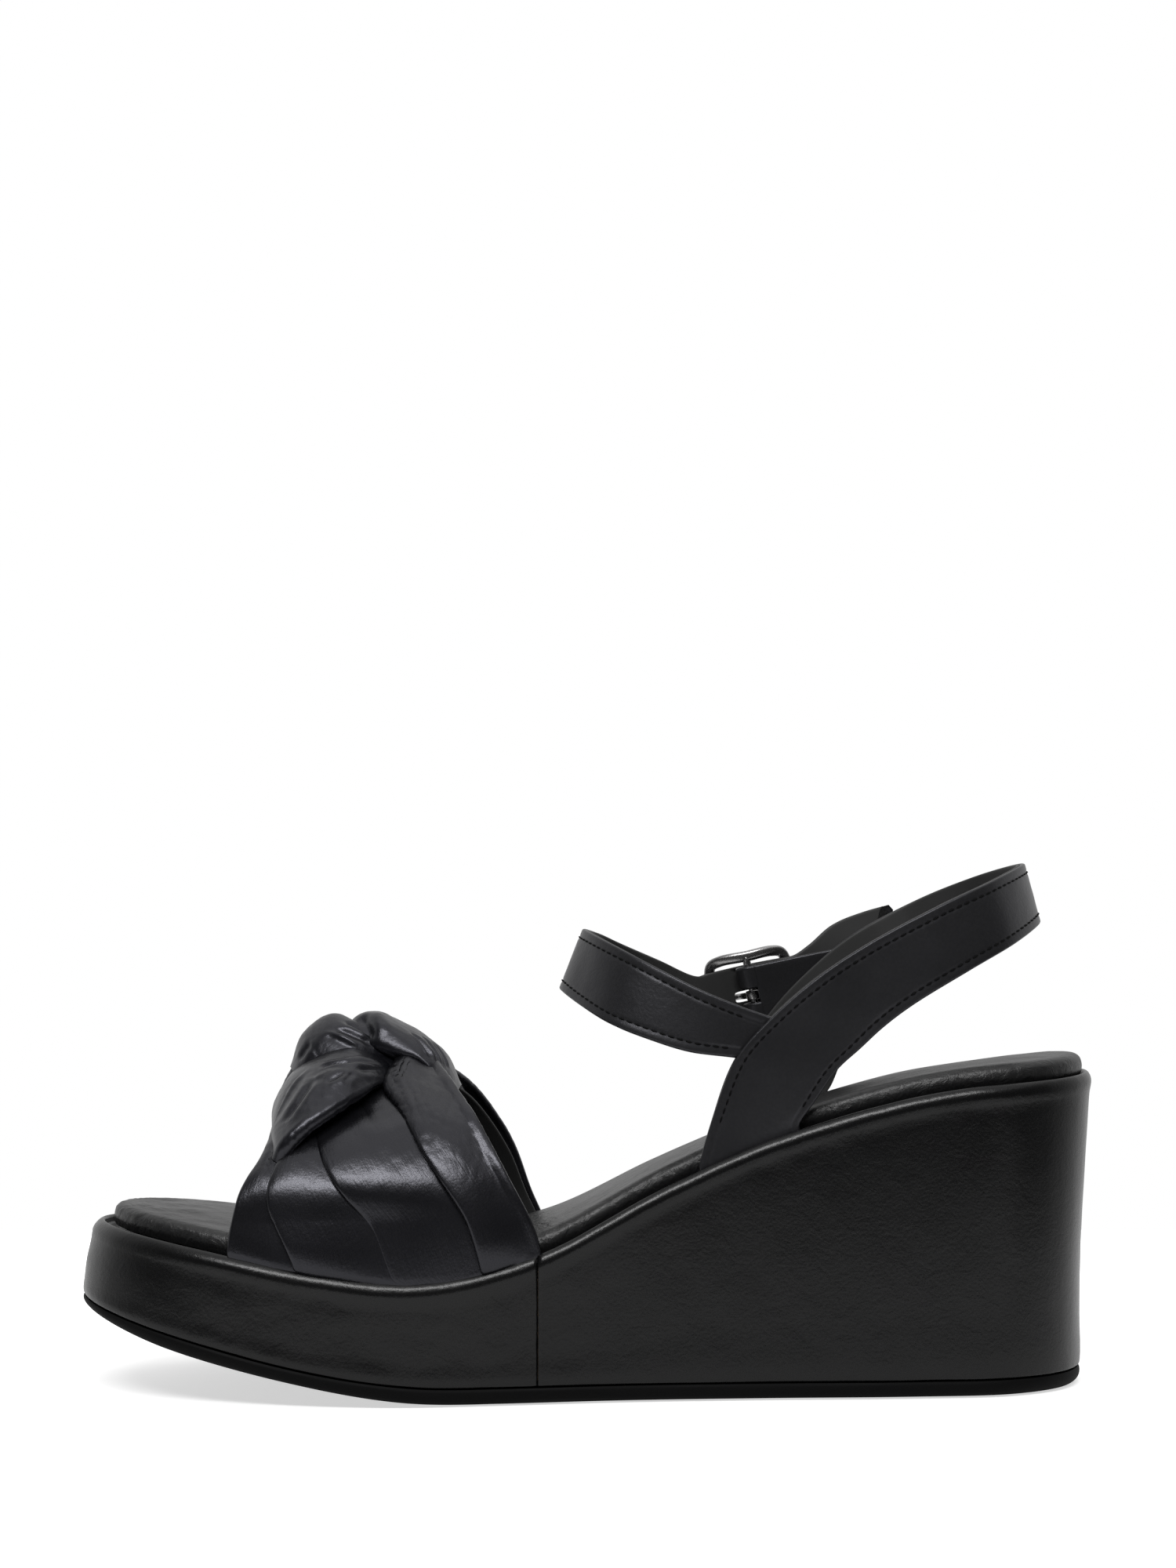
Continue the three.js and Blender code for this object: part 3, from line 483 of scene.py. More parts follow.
def strap_leather(colours):
    """The leather of both straps and the buckle's tab, made on its first use."""
    # The straps' colour is their near-black leather made lighter as painted light for their sheen.
    return bpy.data.materials.get("strap_leather") or leather(
        "strap_leather", colours.strap, 0.34, grain=0.0008, depth=0.00005, crease=0.10, specular=0.38,
        spread=0.08, tint_of_gloss=(0.92, 0.92, 1, 1))


def lining_leather(colours):
    """The lining of both straps and the band, made on its first use."""
    return bpy.data.materials.get("lining_leather") or leather(
        "lining_leather", colours.lining, 0.6, grain=0.0012, crease=0.3, specular=0.2)


def thread_finish(colours):
    """Twisted thread, made on its first use: fine strands across each stitch."""
    found = bpy.data.materials.get("thread")
    if found:
        return found
    f = Finish("thread")
    strands = f.noise(0.00025, 3, 0.6)
    dark, pale = shade(colours.thread, 0.7), shade(colours.thread, 1.8)
    f.put(f.shader.inputs["Base Color"], f.mix(strands, dark, pale))
    f.shader.inputs["Roughness"].default_value = 0.7
    f.shader.inputs["Specular IOR Level"].default_value = 0.12
    f.put(f.shader.inputs["Normal"], f.bump(strands, 0.5, 0.00008))
    return f.material


def dress(piece, material):
    """Gives a piece its one material."""
    piece.data.materials.clear()
    piece.data.materials.append(material)
    return piece


def settle(piece, body, slot, *nodes):
    """Rides a piece on a body, and lets it stand for its solids; its slot is not used."""
    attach(piece, body)
    if nodes:
        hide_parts(*nodes)
    return piece


# ---- Leather leaves: a sheet with thickness and rounded edges ----
def facing(points):
    """Unit normals of a grid of points: the step along the rows crossed with the step along the columns."""
    return unit(np.cross(np.gradient(points, axis=0), np.gradient(points, axis=1)))


def leaf_grid(skin, thick, arc=6, outward=None):
    """
    The closed cross-sections of a sheet whose outer face is skin[row, column]: the face, half a circle round
    the last edge, the inner face one thickness down, and half a circle round the first edge.
    """
    normal = facing(skin) if outward is None else outward
    inner = skin - normal * np.asarray(thick, float).reshape(np.shape(thick) + (1,) * (3 - np.ndim(thick)))

    def turn(edge, beside):
        top, low = skin[:, edge], inner[:, edge]
        out = unit(skin[:, edge] - skin[:, beside])
        radius = np.linalg.norm(top - low, axis=-1, keepdims=True) / 2
        down = unit(low - top)
        angles = np.linspace(0, math.pi, arc + 2)[1:-1]
        middle = (top + low) / 2
        return np.stack([middle + radius * (out * math.sin(w) - down * math.cos(w)) for w in angles], 1)
    last, first = turn(-1, -2), turn(0, 1)[:, ::-1]
    half = arc // 2
    return np.concatenate([first[:, half:], skin, last, inner[:, ::-1], first[:, :half]], 1)


def leaf(name, skin, thick, arc=6, outward=None):
    """A mesh of one sheet, closed at its ends."""
    return surface(name, leaf_grid(skin, thick, arc, outward))


def join_grids(name, grids):
    """One mesh from several closed cross-section grids, each closed at its ends and facing outwards."""
    points, faces, uv, start = [], [], [], 0
    for grid in grids:
        rows, cols = grid.shape[:2]
        quads, r, c = grid_faces((rows, cols), True, False)
        u, v = lengths(grid, 0, False), lengths(grid, 1, True)
        flat = grid.reshape(-1, 3)
        corner = [flat[quads[:, k]] for k in range(4)]
        across = np.cross(corner[1], corner[2]) + np.cross(corner[2], corner[3])
        size = np.einsum("ij,ij->i", corner[0], across).sum()
        turned = size < 0
        parts = [(quads, np.stack([u[r], v[c]], -1))]
        parts += [(f, flat[f][..., :2]) for f in end_strips(rows, cols)]
        for f, t in parts:
            faces.append((f[:, ::-1] if turned else f) + start)
            uv.append(t[:, ::-1] if turned else t)
        points.append(flat)
        start += len(flat)
    return build(name, np.concatenate(points), faces, uv)


def lasted_end(x, side):
    """Points of a lasted end: from the end of its margin, under the board, round and up the slot."""
    profile = [(TURN_IN - 2, MARGIN_Z), (8, MARGIN_Z), (4.6, MARGIN_Z), (3.4, MARGIN_Z + 0.5),
               (SLOT, MARGIN_Z + 1.7), (SLOT, 1.2)]
    ys = [side_y(x, inset, side) for inset, _ in profile]
    return np.array([(x, y, rim(x, y) + rise) for y, (_, rise) in zip(ys, profile)], float)


def lasted_columns(count, front, rear, inner_root, outer_root):
    """Columns of a strap lasted at both ends, between the front and rear edge points of its free part."""
    columns = []
    for share in np.linspace(0, 1, count):
        first = lasted_end(inner_root[0] + (inner_root[1] - inner_root[0]) * share, -1)
        last = lasted_end(outer_root[0] + (outer_root[1] - outer_root[0]) * share, 1)[::-1]
        columns.append(np.concatenate([first, front * (1 - share) + rear * share, last]))
    return np.array(columns)


def strap_face(columns, index, share):
    """
    Points and outward normals of a strap's face at point numbers index, and at share[row, column] of the way
    from its left column to its right one. Each column is a spline, and the face is straight between columns.
    """
    at = np.array([spline(c, index) for c in columns])
    step = np.array([spline_step(c, index) for c in columns])
    place = np.clip(share * (len(columns) - 1), 0, len(columns) - 1)
    k = np.minimum(place.astype(int), len(columns) - 2)
    part = (place - k)[..., None]
    row = np.arange(len(index))[:, None]
    points = at[k, row] * (1 - part) + at[k + 1, row] * part
    along = step[k, row] * (1 - part) + step[k + 1, row] * part
    return points, unit(np.cross(along, at[k, row] - at[k + 1, row]))


STITCH_INSET = 2.3  # from a strap's edge to its stitches
STITCH_SINK = 0.05  # how far the stitches' line lies under the leather's face
CHANNEL = 0.16  # depth of the channel that the stitches pull into the leather
CHANNEL_HALF = 0.45  # from its middle to where it is a third as deep
# Where the grid of a strap has its columns, from the rounded edge inwards.
EDGE_STEPS = np.array([0.0, 0.45, 1.0, 1.5, 1.9, 2.3, 2.7, 3.1, 3.8])


def strap_shares(columns, index, thick, across=9):
    """Shares across a strap, crowded at both edges, that leave room there for edges rounded by thick / 2."""
    ends = [spline(columns[k], index) for k in (0, -1)]
    width = np.linalg.norm(ends[0] - ends[1], axis=-1)[:, None]
    near = (thick / 2 + EDGE_STEPS)[None, :] / width
    middle = np.linspace(0, 1, across + 2)[None, 1:-1]
    middle = near[:, -1:] + (1 - 2 * near[:, -1:]) * middle
    return np.concatenate([near, middle, 1 - near[:, ::-1]], 1), width


def strap_skin(columns, index, depth, thick, channel=0.0, soft=0.0, seed=1):
    """A strap's outer face at a depth, with sewn-down channels near its edges and soft waves between them."""
    share, width = strap_shares(columns, index, thick)
    points, normal = strap_face(columns, index, share)
    off = np.minimum(share, 1 - share) * width
    sunk = channel * np.exp(-((off - STITCH_INSET) / CHANNEL_HALF) ** 2)
    pad = soft * wave(points, seed, 16) * smoothstep(off, 1, 4)
    down = np.broadcast_to(np.asarray(depth, float).reshape(-1, 1), share.shape) + sunk - pad
    return points - normal * down[..., None], normal


STITCH_RINGS, STITCH_SIDES = 6, 6


def stitch_row(line, normal, pitch, long, thick):
    """
    Stitches along a line: small capsules of a given length and thickness, one at each pitch, half sunk.
    Each is a grid of circles whose radius grows and shrinks as the root of a half sine, and whose middle dips
    at both ends as a square.
    """
    step = np.linalg.norm(np.diff(line, axis=0), axis=1)
    run = np.concatenate([[0], np.cumsum(step)])
    at = np.arange(pitch, run[-1] - pitch, pitch)
    centre = np.stack([np.interp(at, run, line[:, k]) for k in range(3)], 1)
    up = unit(np.stack([np.interp(at, run, normal[:, k]) for k in range(3)], 1))
    ahead = np.stack([np.interp(at + 0.3, run, line[:, k]) for k in range(3)], 1)
    along = unit(ahead - centre)
    side = np.cross(along, up)
    rings = np.linspace(0.04, 0.96, STITCH_RINGS)
    w = full_turn(STITCH_SIDES)
    radius = thick / 2 * np.sqrt(np.sin(math.pi * rings))
    a = ((rings - 0.5) * long)[None, :, None, None]
    circle = radius[None, :, None, None]
    ups, sides = np.sin(w)[None, None, :, None], np.cos(w)[None, None, :, None]
    dip = (0.16 - 1.1 * (rings - 0.5) ** 2)[None, :, None, None] * thick
    frames = [v[:, None, None, :] for v in (centre, along, side, up)]
    return frames[0] + frames[1] * a + frames[2] * circle * sides + frames[3] * (circle * ups + dip)


def stitches(name, rows, pitch, long, thick):
    """All the stitches of a piece in one mesh, from (line, normal) rows."""
    grids = np.concatenate([stitch_row(line, normal, pitch, long, thick) for line, normal in rows])
    count, rings, around = grids.shape[:3]
    each = rings * around
    quads, _, _ = grid_faces((rings, around), True, False)
    faces = np.concatenate([quads, *end_strips(rings, around)])
    faces = (faces[None] + (np.arange(count) * each)[:, None, None]).reshape(-1, 4)
    return build(name, grids.reshape(-1, 3), [faces])


# ---- Edges of the straps and of the band, in millimetres, inner side first ----
HEEL_STRAP_UPPER = np.array([
    (30, -30.3, 67.7), (35.3, -29.8, 80.8), (43.8, -29.4, 90.5), (54, -29, 99.4), (65.2, -28.6, 107),
    (84, -27, 117), (98, -20, 123), (107.4, 0, 126.6), (98, 20, 123), (84, 27, 117), (66.5, 28.8, 107.5),
    (56.5, 29.4, 99.4), (47.5, 29.8, 90), (40, 30, 79), (36, 30.4, 65.5)], float)
HEEL_STRAP_LOWER = np.array([
    (53.8, -30, 70), (59.5, -29.6, 78), (65, -29.2, 83), (70.5, -28.8, 88), (77.5, -28.4, 93.2),
    (91.5, -26.5, 101.5), (103, -19.5, 107.5), (111.4, 0, 112), (103, 19.5, 107.5), (91.5, 26.5, 101.5),
    (79, 28.6, 93.5), (73, 29.2, 88), (68.5, 29.6, 82.5), (64.5, 30, 76), (61.5, 30.2, 69)], float)
# Where the ankle strap's ends lie between the heel strap and its lining, as ranges of point numbers.
SANDWICHES = ((6.3, 9), (15.7, 18.6))
SANDWICH_DEPTH = UPPER + GAP + 0.3
BUCKLE = np.array([42.2, 31.2, 92.3])
BUCKLE_SLOPE = math.radians(12)
STRAP_HALF = 7.75


def at_buckle(points):
    """Points given as a along the strap, n outwards and b across it, moved to the buckle's place."""
    a, n, b = np.moveaxis(np.asarray(points, float), -1, 0)
    c, s = math.cos(BUCKLE_SLOPE), math.sin(BUCKLE_SLOPE)
    return np.stack([a * c - b * s, n, a * s + b * c], -1) + BUCKLE


THROUGH_BUCKLE = [(-14, -1.2), (-11, 0.6), (-9, 1.7), (-6, 3.3), (-3, 4.5), (0, 5.1), (3, 4.7), (6, 3.4),
                  (9, 1.8), (12, 1.3)]
ANKLE_UPPER = np.concatenate([
    [(55, -27.7, 88), (43.8, -27.9, 90.5), (28, -28, 96.5), (18.7, -25.8, 101), (9.4, -20.5, 105.6),
     (2, -11.5, 109), (-1.3, 0, 110.5), (2, 11.5, 109), (9.4, 20.5, 105.4), (18.5, 26, 101.2)],
    at_buckle([(a, n, STRAP_HALF) for a, n in THROUGH_BUCKLE]),
    [(56.2, 32.8, 105), (62.1, 34.2, 109.9), (69.5, 36, 112.9), (76.8, 37.6, 114.9)]])
ANKLE_LOWER = np.concatenate([
    [(50, -28.1, 77.5), (38, -28.3, 80.2), (24.3, -29.6, 82.2), (14, -28, 85.3), (5, -23.5, 88.6),
     (-2.5, -13.3, 92.6), (-7.2, 0, 95.6), (-2.5, 13.3, 92.6), (5, 23.5, 88.4), (15.5, 27.8, 84.6)],
    at_buckle([(a, n, -STRAP_HALF) for a, n in THROUGH_BUCKLE]),
    [(64.3, 32.8, 90.1), (72.9, 34.2, 98.7), (75.8, 36, 106), (78, 37.6, 113.6)]])
TAB_PATH = np.array([(19, -4.05), (14, -3.8), (8, -3.5), (2, -3.4), (-1, -3), (-2.5, -1.6), (-2.6, 0.2),
                     (-1.2, 1.7), (0.7, 1.9), (2.5, 1.4), (4.5, 0.5), (6.6, -0.3)], float)
BAND_FRONT = np.array([
    (-83.2, -37.8, 42), (-81.4, -36.4, 48.5), (-76.4, -30, 56.5), (-74.6, -16, 63.5), (-75, 0, 66),
    (-76, 13, 64), (-77, 24, 58.5), (-77.5, 31.5, 50.5), (-77.5, 35.3, 42)], float)
BAND_REAR = np.array([
    (-14.3, -36.8, 43), (-20.3, -34.8, 53.6), (-27.3, -28, 65.3), (-34.3, -15, 74), (-39, 0, 78.5),
    (-36.5, 12.5, 75), (-28.5, 24.5, 67.5), (-20, 34, 54), (-15.5, 38.6, 42)], float)


def heel_columns():
    """Nine columns between the heel strap's upper and lower edges, with their lasted ends."""
    return lasted_columns(9, HEEL_STRAP_UPPER, HEEL_STRAP_LOWER, (26.5, 50.5), (33.5, 57.5))


def ankle_columns():
    """Nine columns between the ankle strap's lower and upper edges, straight across."""
    return np.array([ANKLE_LOWER * (1 - s) + ANKLE_UPPER * s for s in np.linspace(0, 1, 9)])


# How far the band's low points stand out between its front and rear edges, in millimetres.
BAND_FILL = np.array([3.4, 3.0, 1.2])


def band_columns():
    """The band's columns, filled out sideways by half a sine so that its middle rises straight."""
    columns = lasted_columns(8, BAND_FRONT, BAND_REAR, (-84, -12), (-77.5, -12))
    out = np.sin(math.pi * np.linspace(0, 1, 8))[:, None] * BAND_FILL
    columns[:, LASTED:LASTED + 3, 1] -= out
    columns[:, -LASTED - 3:-LASTED, 1] += out[:, ::-1]
    return columns


# ---- Settings ----
def length(name, description, default):
    """A length that can't be below 0."""
    return bpy.props.FloatProperty(name=name, description=description, default=default, min=0.0,
                                   unit="LENGTH", precision=5)


def colour(name, description, default):
    """A colour with its alpha."""
    return bpy.props.FloatVectorProperty(name=name, description=description, default=default, size=4,
                                         min=0.0, max=1.0, subtype="COLOR")


class SandalSizes(bpy.types.PropertyGroup):
    """Sizes of the pieces that can be changed before they are made."""
    strap_leather: length("Strap leather", "Thickness of the leather of the straps", 0.0011)
    lining: length("Lining", "Thickness of the straps' lining", 0.0008)
    pleat: length("Pleat", "Thickness of a folded pleat of the front band", 0.0016)
    pleat_lift: length("Pleat lift", "How far a pleat's folded edge stands off the band", 0.0021)
    knot_leather: length("Knot leather", "Thickness of the folded leather of the knot", 0.0030)
    crown: length("Footbed crown", "How far the padded footbed swells in its middle", 0.0009)
    wrinkle: length("Footbed wrinkle", "Depth of the soft wrinkles of the footbed", 0.00022)
    stitch_pitch: length("Stitch pitch", "From one stitch to the next", 0.0022)
    stitch_length: length("Stitch length", "Length of one stitch", 0.0017)
    thread: length("Thread", "Thickness of the sewing thread", 0.00042)


class SandalColours(bpy.types.PropertyGroup):
    """Colours of the materials."""
    wrap: colour("Wrap leather", "Leather round the wedge", (0.0030, 0.0030, 0.0032, 1))
    upper: colour("Band leather", "Leather of the pleated band", (0.0036, 0.0036, 0.0044, 1))
    # Partly painted light: the band's near-black leather made a little lighter and bluer for the knot, for
    # the sheen the raised knot catches from above.
    knot: colour("Knot leather", "Leather of the knot", (0.0042, 0.0043, 0.0056, 1))
    # Partly painted light: the straps' near-black leather is the band's, made about four times lighter to
    # stand in for the even sheen the straps catch.
    strap: colour("Strap leather", "Leather of both straps", (0.0140, 0.0140, 0.0150, 1))
    footbed: colour("Footbed leather", "Leather of the padded footbed", (0.0050, 0.0050, 0.0053, 1))
    lining: colour("Lining leather", "Lining of the straps and the band", (0.0022, 0.0022, 0.0024, 1))
    thread: colour("Thread", "Sewing thread", (0.0010, 0.0010, 0.0011, 1))
    rubber: colour("Rubber", "Outsole rubber", (0.0025, 0.0025, 0.0026, 1))
    metal: colour("Metal", "Dark plating of the buckle", (0.34, 0.335, 0.335, 1))
    core: colour("Core", "Stuff of the wedge's core", (0.37, 0.23, 0.11, 1))
    floor: colour("Floor", "Studio floor", (0.70, 0.70, 0.70, 1))


class SandalStudio(bpy.types.PropertyGroup):
    """The studio's lights and camera."""
    lens: bpy.props.FloatProperty(name="Lens", description="Focal length of the camera, in millimetres",
                                  default=83.94, min=1.0)
    distance: length("Distance", "From the sandal's middle to the camera", 0.9)
    height: length("Height", "Height of the camera", 0.146)
    overhead: bpy.props.FloatProperty(name="Overhead", description="Power of the overhead light",
                                      default=7.5, min=0.0, unit="POWER")
    sun: bpy.props.FloatProperty(name="Soft sun", description="Strength of the wide soft sun", default=0.7,
                                 min=0.0)
    front: bpy.props.FloatProperty(name="Front glow", description="Surroundings on the camera's side",
                                   default=0.05, min=0.0)
    back: bpy.props.FloatProperty(name="Back glow", description="Surroundings behind the sandal",
                                  default=0.75, min=0.0)


# ---- Operators ----
class Maker(bpy.types.Operator):
    """Common settings of the operators that make a piece."""
    bl_idname = "sandal.maker"
    bl_label = "Maker"
    bl_options = {"REGISTER", "UNDO"}

    def execute(self, context):
        self.make(context.scene.sandal_sizes, context.scene.sandal_colours)
        return {"FINISHED"}


def profile_rows(controls, steps, half=0, count=220):
    """
    Rings of the sole between control rings (inset, z(x, y)): a spline through the control rings, point
    by point, cut at steps places between each two.
    """
    rings = np.array([ring(inset, z, half, count) for inset, z in controls])
    index = np.linspace(0, len(controls) - 1, (len(controls) - 1) * steps + 1)
    return spline(rings, index)


def foot(rise=0.0):
    """Heights at a rise over the wall's foot."""
    return lambda x, y: wall_foot(x) + rise


def below(depth):
    """Heights at a depth under the rim."""
    return lambda x, y: rim(x, y) - depth


def above(rise):
    """Heights at a rise over the rim."""
    return lambda x, y: rim(x, y) + rise


def wall(share):
    """Heights at a share of the way from the wall's foot to the rim."""
    return lambda x, y: wall_foot(x) * (1 - share) + rim(x, y) * share


# The tread: two sets of cross grooves, each from its own place along the sandal.
GROOVE_STARTS = (-26, 72)
GROOVES_DIVIDE_X = 30
GROOVES = 7
GROOVE_PITCH = 5
GROOVE_SHARE = 0.36
GROOVE_DEPTH = 1.0
TREAD_MARGIN = 9


class MakeOutsole(Maker):
    """The outsole: rings of the rim's plan with a rounded edge, and cross grooves in the tread."""
    bl_idname = "sandal.outsole"
    bl_label = "Outsole"

    def make(self, sizes, colours):
        def between(share):
            return lambda x, y: tread_height(x) * (1 - share) + (wall_foot(x) - GAP) * share

        def tread(x, y):
            part = (x - np.where(x < GROOVES_DIVIDE_X, *GROOVE_STARTS)) / GROOVE_PITCH
            groove = (part >= 0) & (part < GROOVES) & ((part % 1) < GROOVE_SHARE)
            margin = np.minimum(side_y(x, TREAD_MARGIN, 1) - y, y - side_y(x, TREAD_MARGIN, -1))
            inside = smoothstep(margin, -0.5, 0.5)
            return tread_height(x) + np.where(groove, GROOVE_DEPTH, 0.0) * inside
        controls = [(2.6, between(0)), (1.5, between(0.03)), (0.5, between(0.25)),
                    (0.05, between(0.55)), (0.1, between(0.85)), (0.4, between(1))]
        piece = stack("outsole_rubber", profile_rows(controls, 4, count=520), low=tread, across=30, sharp=40)
        dress(piece, moulded_rubber("outsole_rubber", colours.rubber, 0.62))
        settle(piece, "sole", "outsole_rubber", "outsole")


SEAM_REACH = 1.2  # how far from the seam the wraps are drawn in
SEAM_SINK = 0.12
SEAM_OPENING = 0.06


class MakeWraps(Maker):
    """
    The leather wraps of the wedge: a closed profile of wall, rolled bead and turned-in margins, carried round
    each half of the rim, with soft waves in the wall.
    """
    bl_idname = "sandal.wraps"
    bl_label = "Leather wraps"

    def make(self, sizes, colours):
        # Outer face: in from the outsole's margin, up the wall, over the bead and in under the board.
        face = [(12, foot()), (5, foot()), (1.2, foot(0.02)), (0.25, foot(0.25)),
                (0, foot(1.1)), (0.18, wall(0.22)), (0.24, wall(0.45)), (0.24, below(9)),
                (0.26, below(6.4)), (0.2, below(5)), (0.06, below(3.8)),
                (0.02, below(2.8)), (0.2, below(1.85)), (0.62, below(0.95)),
                (1.15, below(0.3)), (1.7, below(0.02)), (2.3, below(0.6)), (2.62, below(1.9)),
                (4.2, below(2.4)), (15, below(2.4))]
        # Inner face, point for point behind the outer one.
        back = [(12, foot(1.1)), (5, foot(1.1)), (2.4, foot(1.12)), (1.6, foot(1.3)),
                (1.25, foot(2.0)), (1.6, wall(0.22)), (1.85, wall(0.45)), (2.0, below(9)),
                (2.05, below(6.6)), (2.02, below(5.9)), (2.0, below(5.4)),
                (2.0, below(5.0)), (2.05, below(4.7)), (2.1, below(4.4)),
                (2.2, below(4.2)), (2.35, below(4.0)), (2.6, below(3.8)),
                (3.2, below(3.6)), (4.6, below(3.5)), (15, below(3.5))]
        material = leather("wrap_leather", colours.wrap, 0.27, grain=0.0008, depth=0.00005, crease=0.10,
                           specular=0.32, spread=0.07)
        for half, node in ((-1, "toe_wrap"), (1, "wedge_wrap")):
            outer = profile_rows(face, 5, half=half, count=300)
            inner = profile_rows(back, 5, half=half, count=300)
            section = np.concatenate([outer, inner[::-1]]).transpose(1, 0, 2)
            normal = facing(section)
            ripple = 0.07 * wave(section, 4, 30) + 0.03 * wave(section, 8, 9)
            section = section + normal * ripple[..., None]
            near = 1 - smoothstep(np.abs(section[..., 0] - WRAP_SEAM_X), 0, SEAM_REACH)
            section -= normal * (SEAM_SINK * near)[..., None]
            section[..., 0] += half * SEAM_OPENING * near
            piece = surface(f"{node}_leather", section)
            dress(piece, material)
            settle(piece, "sole", "wrap_leather", node)


FOOTBED_STEPS = 4  # rings between two control rings of the sock's outside
FOOTBED_MIDDLE = np.array([0.0, 0.0, 50.0])
FOOTBED_RISE = 4.8
FOOTBED_UNDER = 3.7
PUCKER = 0.16  # depth of the wide puckers of the sock's edge at the toe
GATHER = 0.11  # depth of the fine gathers of its shoulder


class MakeFootbed(Maker):
    """
    The padded sock: a shell over the foam, its face swollen in the middle, rolled at its edge, and drawn into
    soft wrinkles by sums of sines that are strongest near the toe and the arch.
    """
    bl_idname = "sandal.footbed"
    bl_label = "Padded footbed"

    def make(self, sizes, colours):
        crown, depth = sizes.crown / MM, sizes.wrinkle / MM

        def within(extra):
            return lambda x: footbed_inset(x) + extra

        def edge(x, y):
            side = np.minimum(side_y(x, footbed_inset, 1) - y, y - side_y(x, footbed_inset, -1))
            return np.minimum(side, np.minimum(x + 116, 121 - x))

        def top(x, y):
            inwards = edge(x, y)
            # Gathers drawn across the toe, wrinkles at the arch, and wide soft waves all over.
            place = np.stack([x, y * 0.35, 0 * x], -1)
            gathers = wave(np.stack([x * 0.5, y, 0 * x], -1), 12, 7) * smoothstep(x, -80, -105)
            arch = wave(place, 5, 8) * np.exp(-((x + 4) / 16) ** 2)
            soft = gathers * 1.6 + arch * 1.2 + 0.5 * wave(place, 9, 30)
            return (rim(x, y) + FOOTBED_RISE + crown * smoothstep(inwards, 3, 22)
                    + depth * soft * smoothstep(inwards, 3.6, 9))
        outside = [(within(0.35), above(BOARD_Z)), (within(0.1), above(BOARD_Z + 0.9)),
                   (within(0), above(BOARD_Z + 2)), (within(0.15), above(2.4)), (within(0.5), above(3.3)),
                   (within(1.1), above(4.0)), (within(2.1), above(4.55)), (within(3.6), above(FOOTBED_RISE))]
        inside = [(within(3.4), above(FOOTBED_UNDER)), (within(2.5), above(FOOTBED_UNDER)),
                  (within(1.6), above(2.6)), (within(1.1), above(1.6)), (within(1.1), above(0.4)),
                  (within(1.1), above(BOARD_Z + 0.1))]
        hidden = profile_rows(inside, 2, count=300)
        rings = np.concatenate([hidden, profile_rows(outside, FOOTBED_STEPS, count=300)])
        level = (np.arange(len(rings)) - len(hidden)) / FOOTBED_STEPS
        # The sock's edge is puckered at the toe, and its shoulder gathered at the toe and the arch.
        puckers = wave(rings * np.array([1, 1, 0.2]), 3, 4.2) * smoothstep(rings[..., 0], -60, -100)
        out = unit((rings - FOOTBED_MIDDLE) * np.array([0.35, 1, 1]))
        rings = rings + out * (PUCKER * puckers * (level >= 0)[:, None])[..., None]
        shoulder = (smoothstep(level, 2, 4.2) * (1 - smoothstep(level, 6, 7)))[:, None]
        drawn = smoothstep(rings[..., 0], -45, -70) + np.exp(-((rings[..., 0] + 4) / 13) ** 2)
        gathers = wave(rings * np.array([1, 1, 0.5]), 5, 2.3, 2) * shoulder * drawn
        rings = rings + (out * 0.6 + np.array([0, 0, 0.8])) * (GATHER * gathers)[..., None]
        piece = stack("footbed_sock", rings, low=above(FOOTBED_UNDER), high=top, across=44)
        dress(piece, leather("footbed_leather", colours.footbed, 0.40, grain=0.0011, depth=0.00008,
                             crease=0.6, specular=0.5, spread=0.08))
        settle(piece, "sole", "footbed_leather", "footbed_cover")


FELT_COLOUR = (0.26, 0.23, 0.19, 1)
BOARD_COLOUR = (0.19, 0.115, 0.06, 1)
FOAM_COLOUR = (0.09, 0.09, 0.10, 1)
STEEL_COLOUR = (0.52, 0.53, 0.55, 1)


class DressInside(Maker):
    """Finishes for the pieces inside the sole, which keep their own solids."""
    bl_idname = "sandal.inside"
    bl_label = "Inner pieces"

    def make(self, sizes, colours):
        cork = granular("core", colours.core, 0.0016)
        felt = granular("filler", FELT_COLOUR, 0.0007)
        board = granular("board", BOARD_COLOUR, 0.0004)
        foam = granular("foam", FOAM_COLOUR, 0.0005)
        steel = cast_metal("shank_steel", STEEL_COLOUR, 0.34)
        inner = {"wedge_core": cork, "filler_sheet": felt, "insole_board": board, "footbed_foam": foam,
                 "shank": steel, "shank_rivet_front": steel, "shank_rivet_rear": steel}
        for name, material in inner.items():
            dress(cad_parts[name], material)


# The pleats' folded edges over the band, as (point number along the band, share from front to rear).
PLEAT_EDGES = [
    [(4, 0.0), (10.5, 0.0)],
    [(4, 0.23), (5, 0.22), (6, 0.153), (6.8, 0.12), (7.5, 0.115), (8.2, 0.14), (9.5, 0.22), (10.5, 0.25)],
    [(4, 0.56), (5, 0.53), (6, 0.47), (6.7, 0.41), (7.1, 0.365), (7.8, 0.285), (8.5, 0.245), (9.5, 0.33),
     (10.5, 0.38)],
    [(4, 0.825), (5, 0.82), (6.25, 0.79), (7, 0.763), (7.6, 0.727), (8.4, 0.695), (8.9, 0.655), (9.2, 0.71),
     (9.5, 0.80), (10.5, 0.86)],
]
PLEAT_NAMES = ("front", "second", "middle", "rear")
PLEAT_LAP = 0.10  # how far a pleat runs on under the next one, as a share of the band's width
PLEAT_SWELL = 1.25
FRONT_PLEAT_LIFT = 0.4


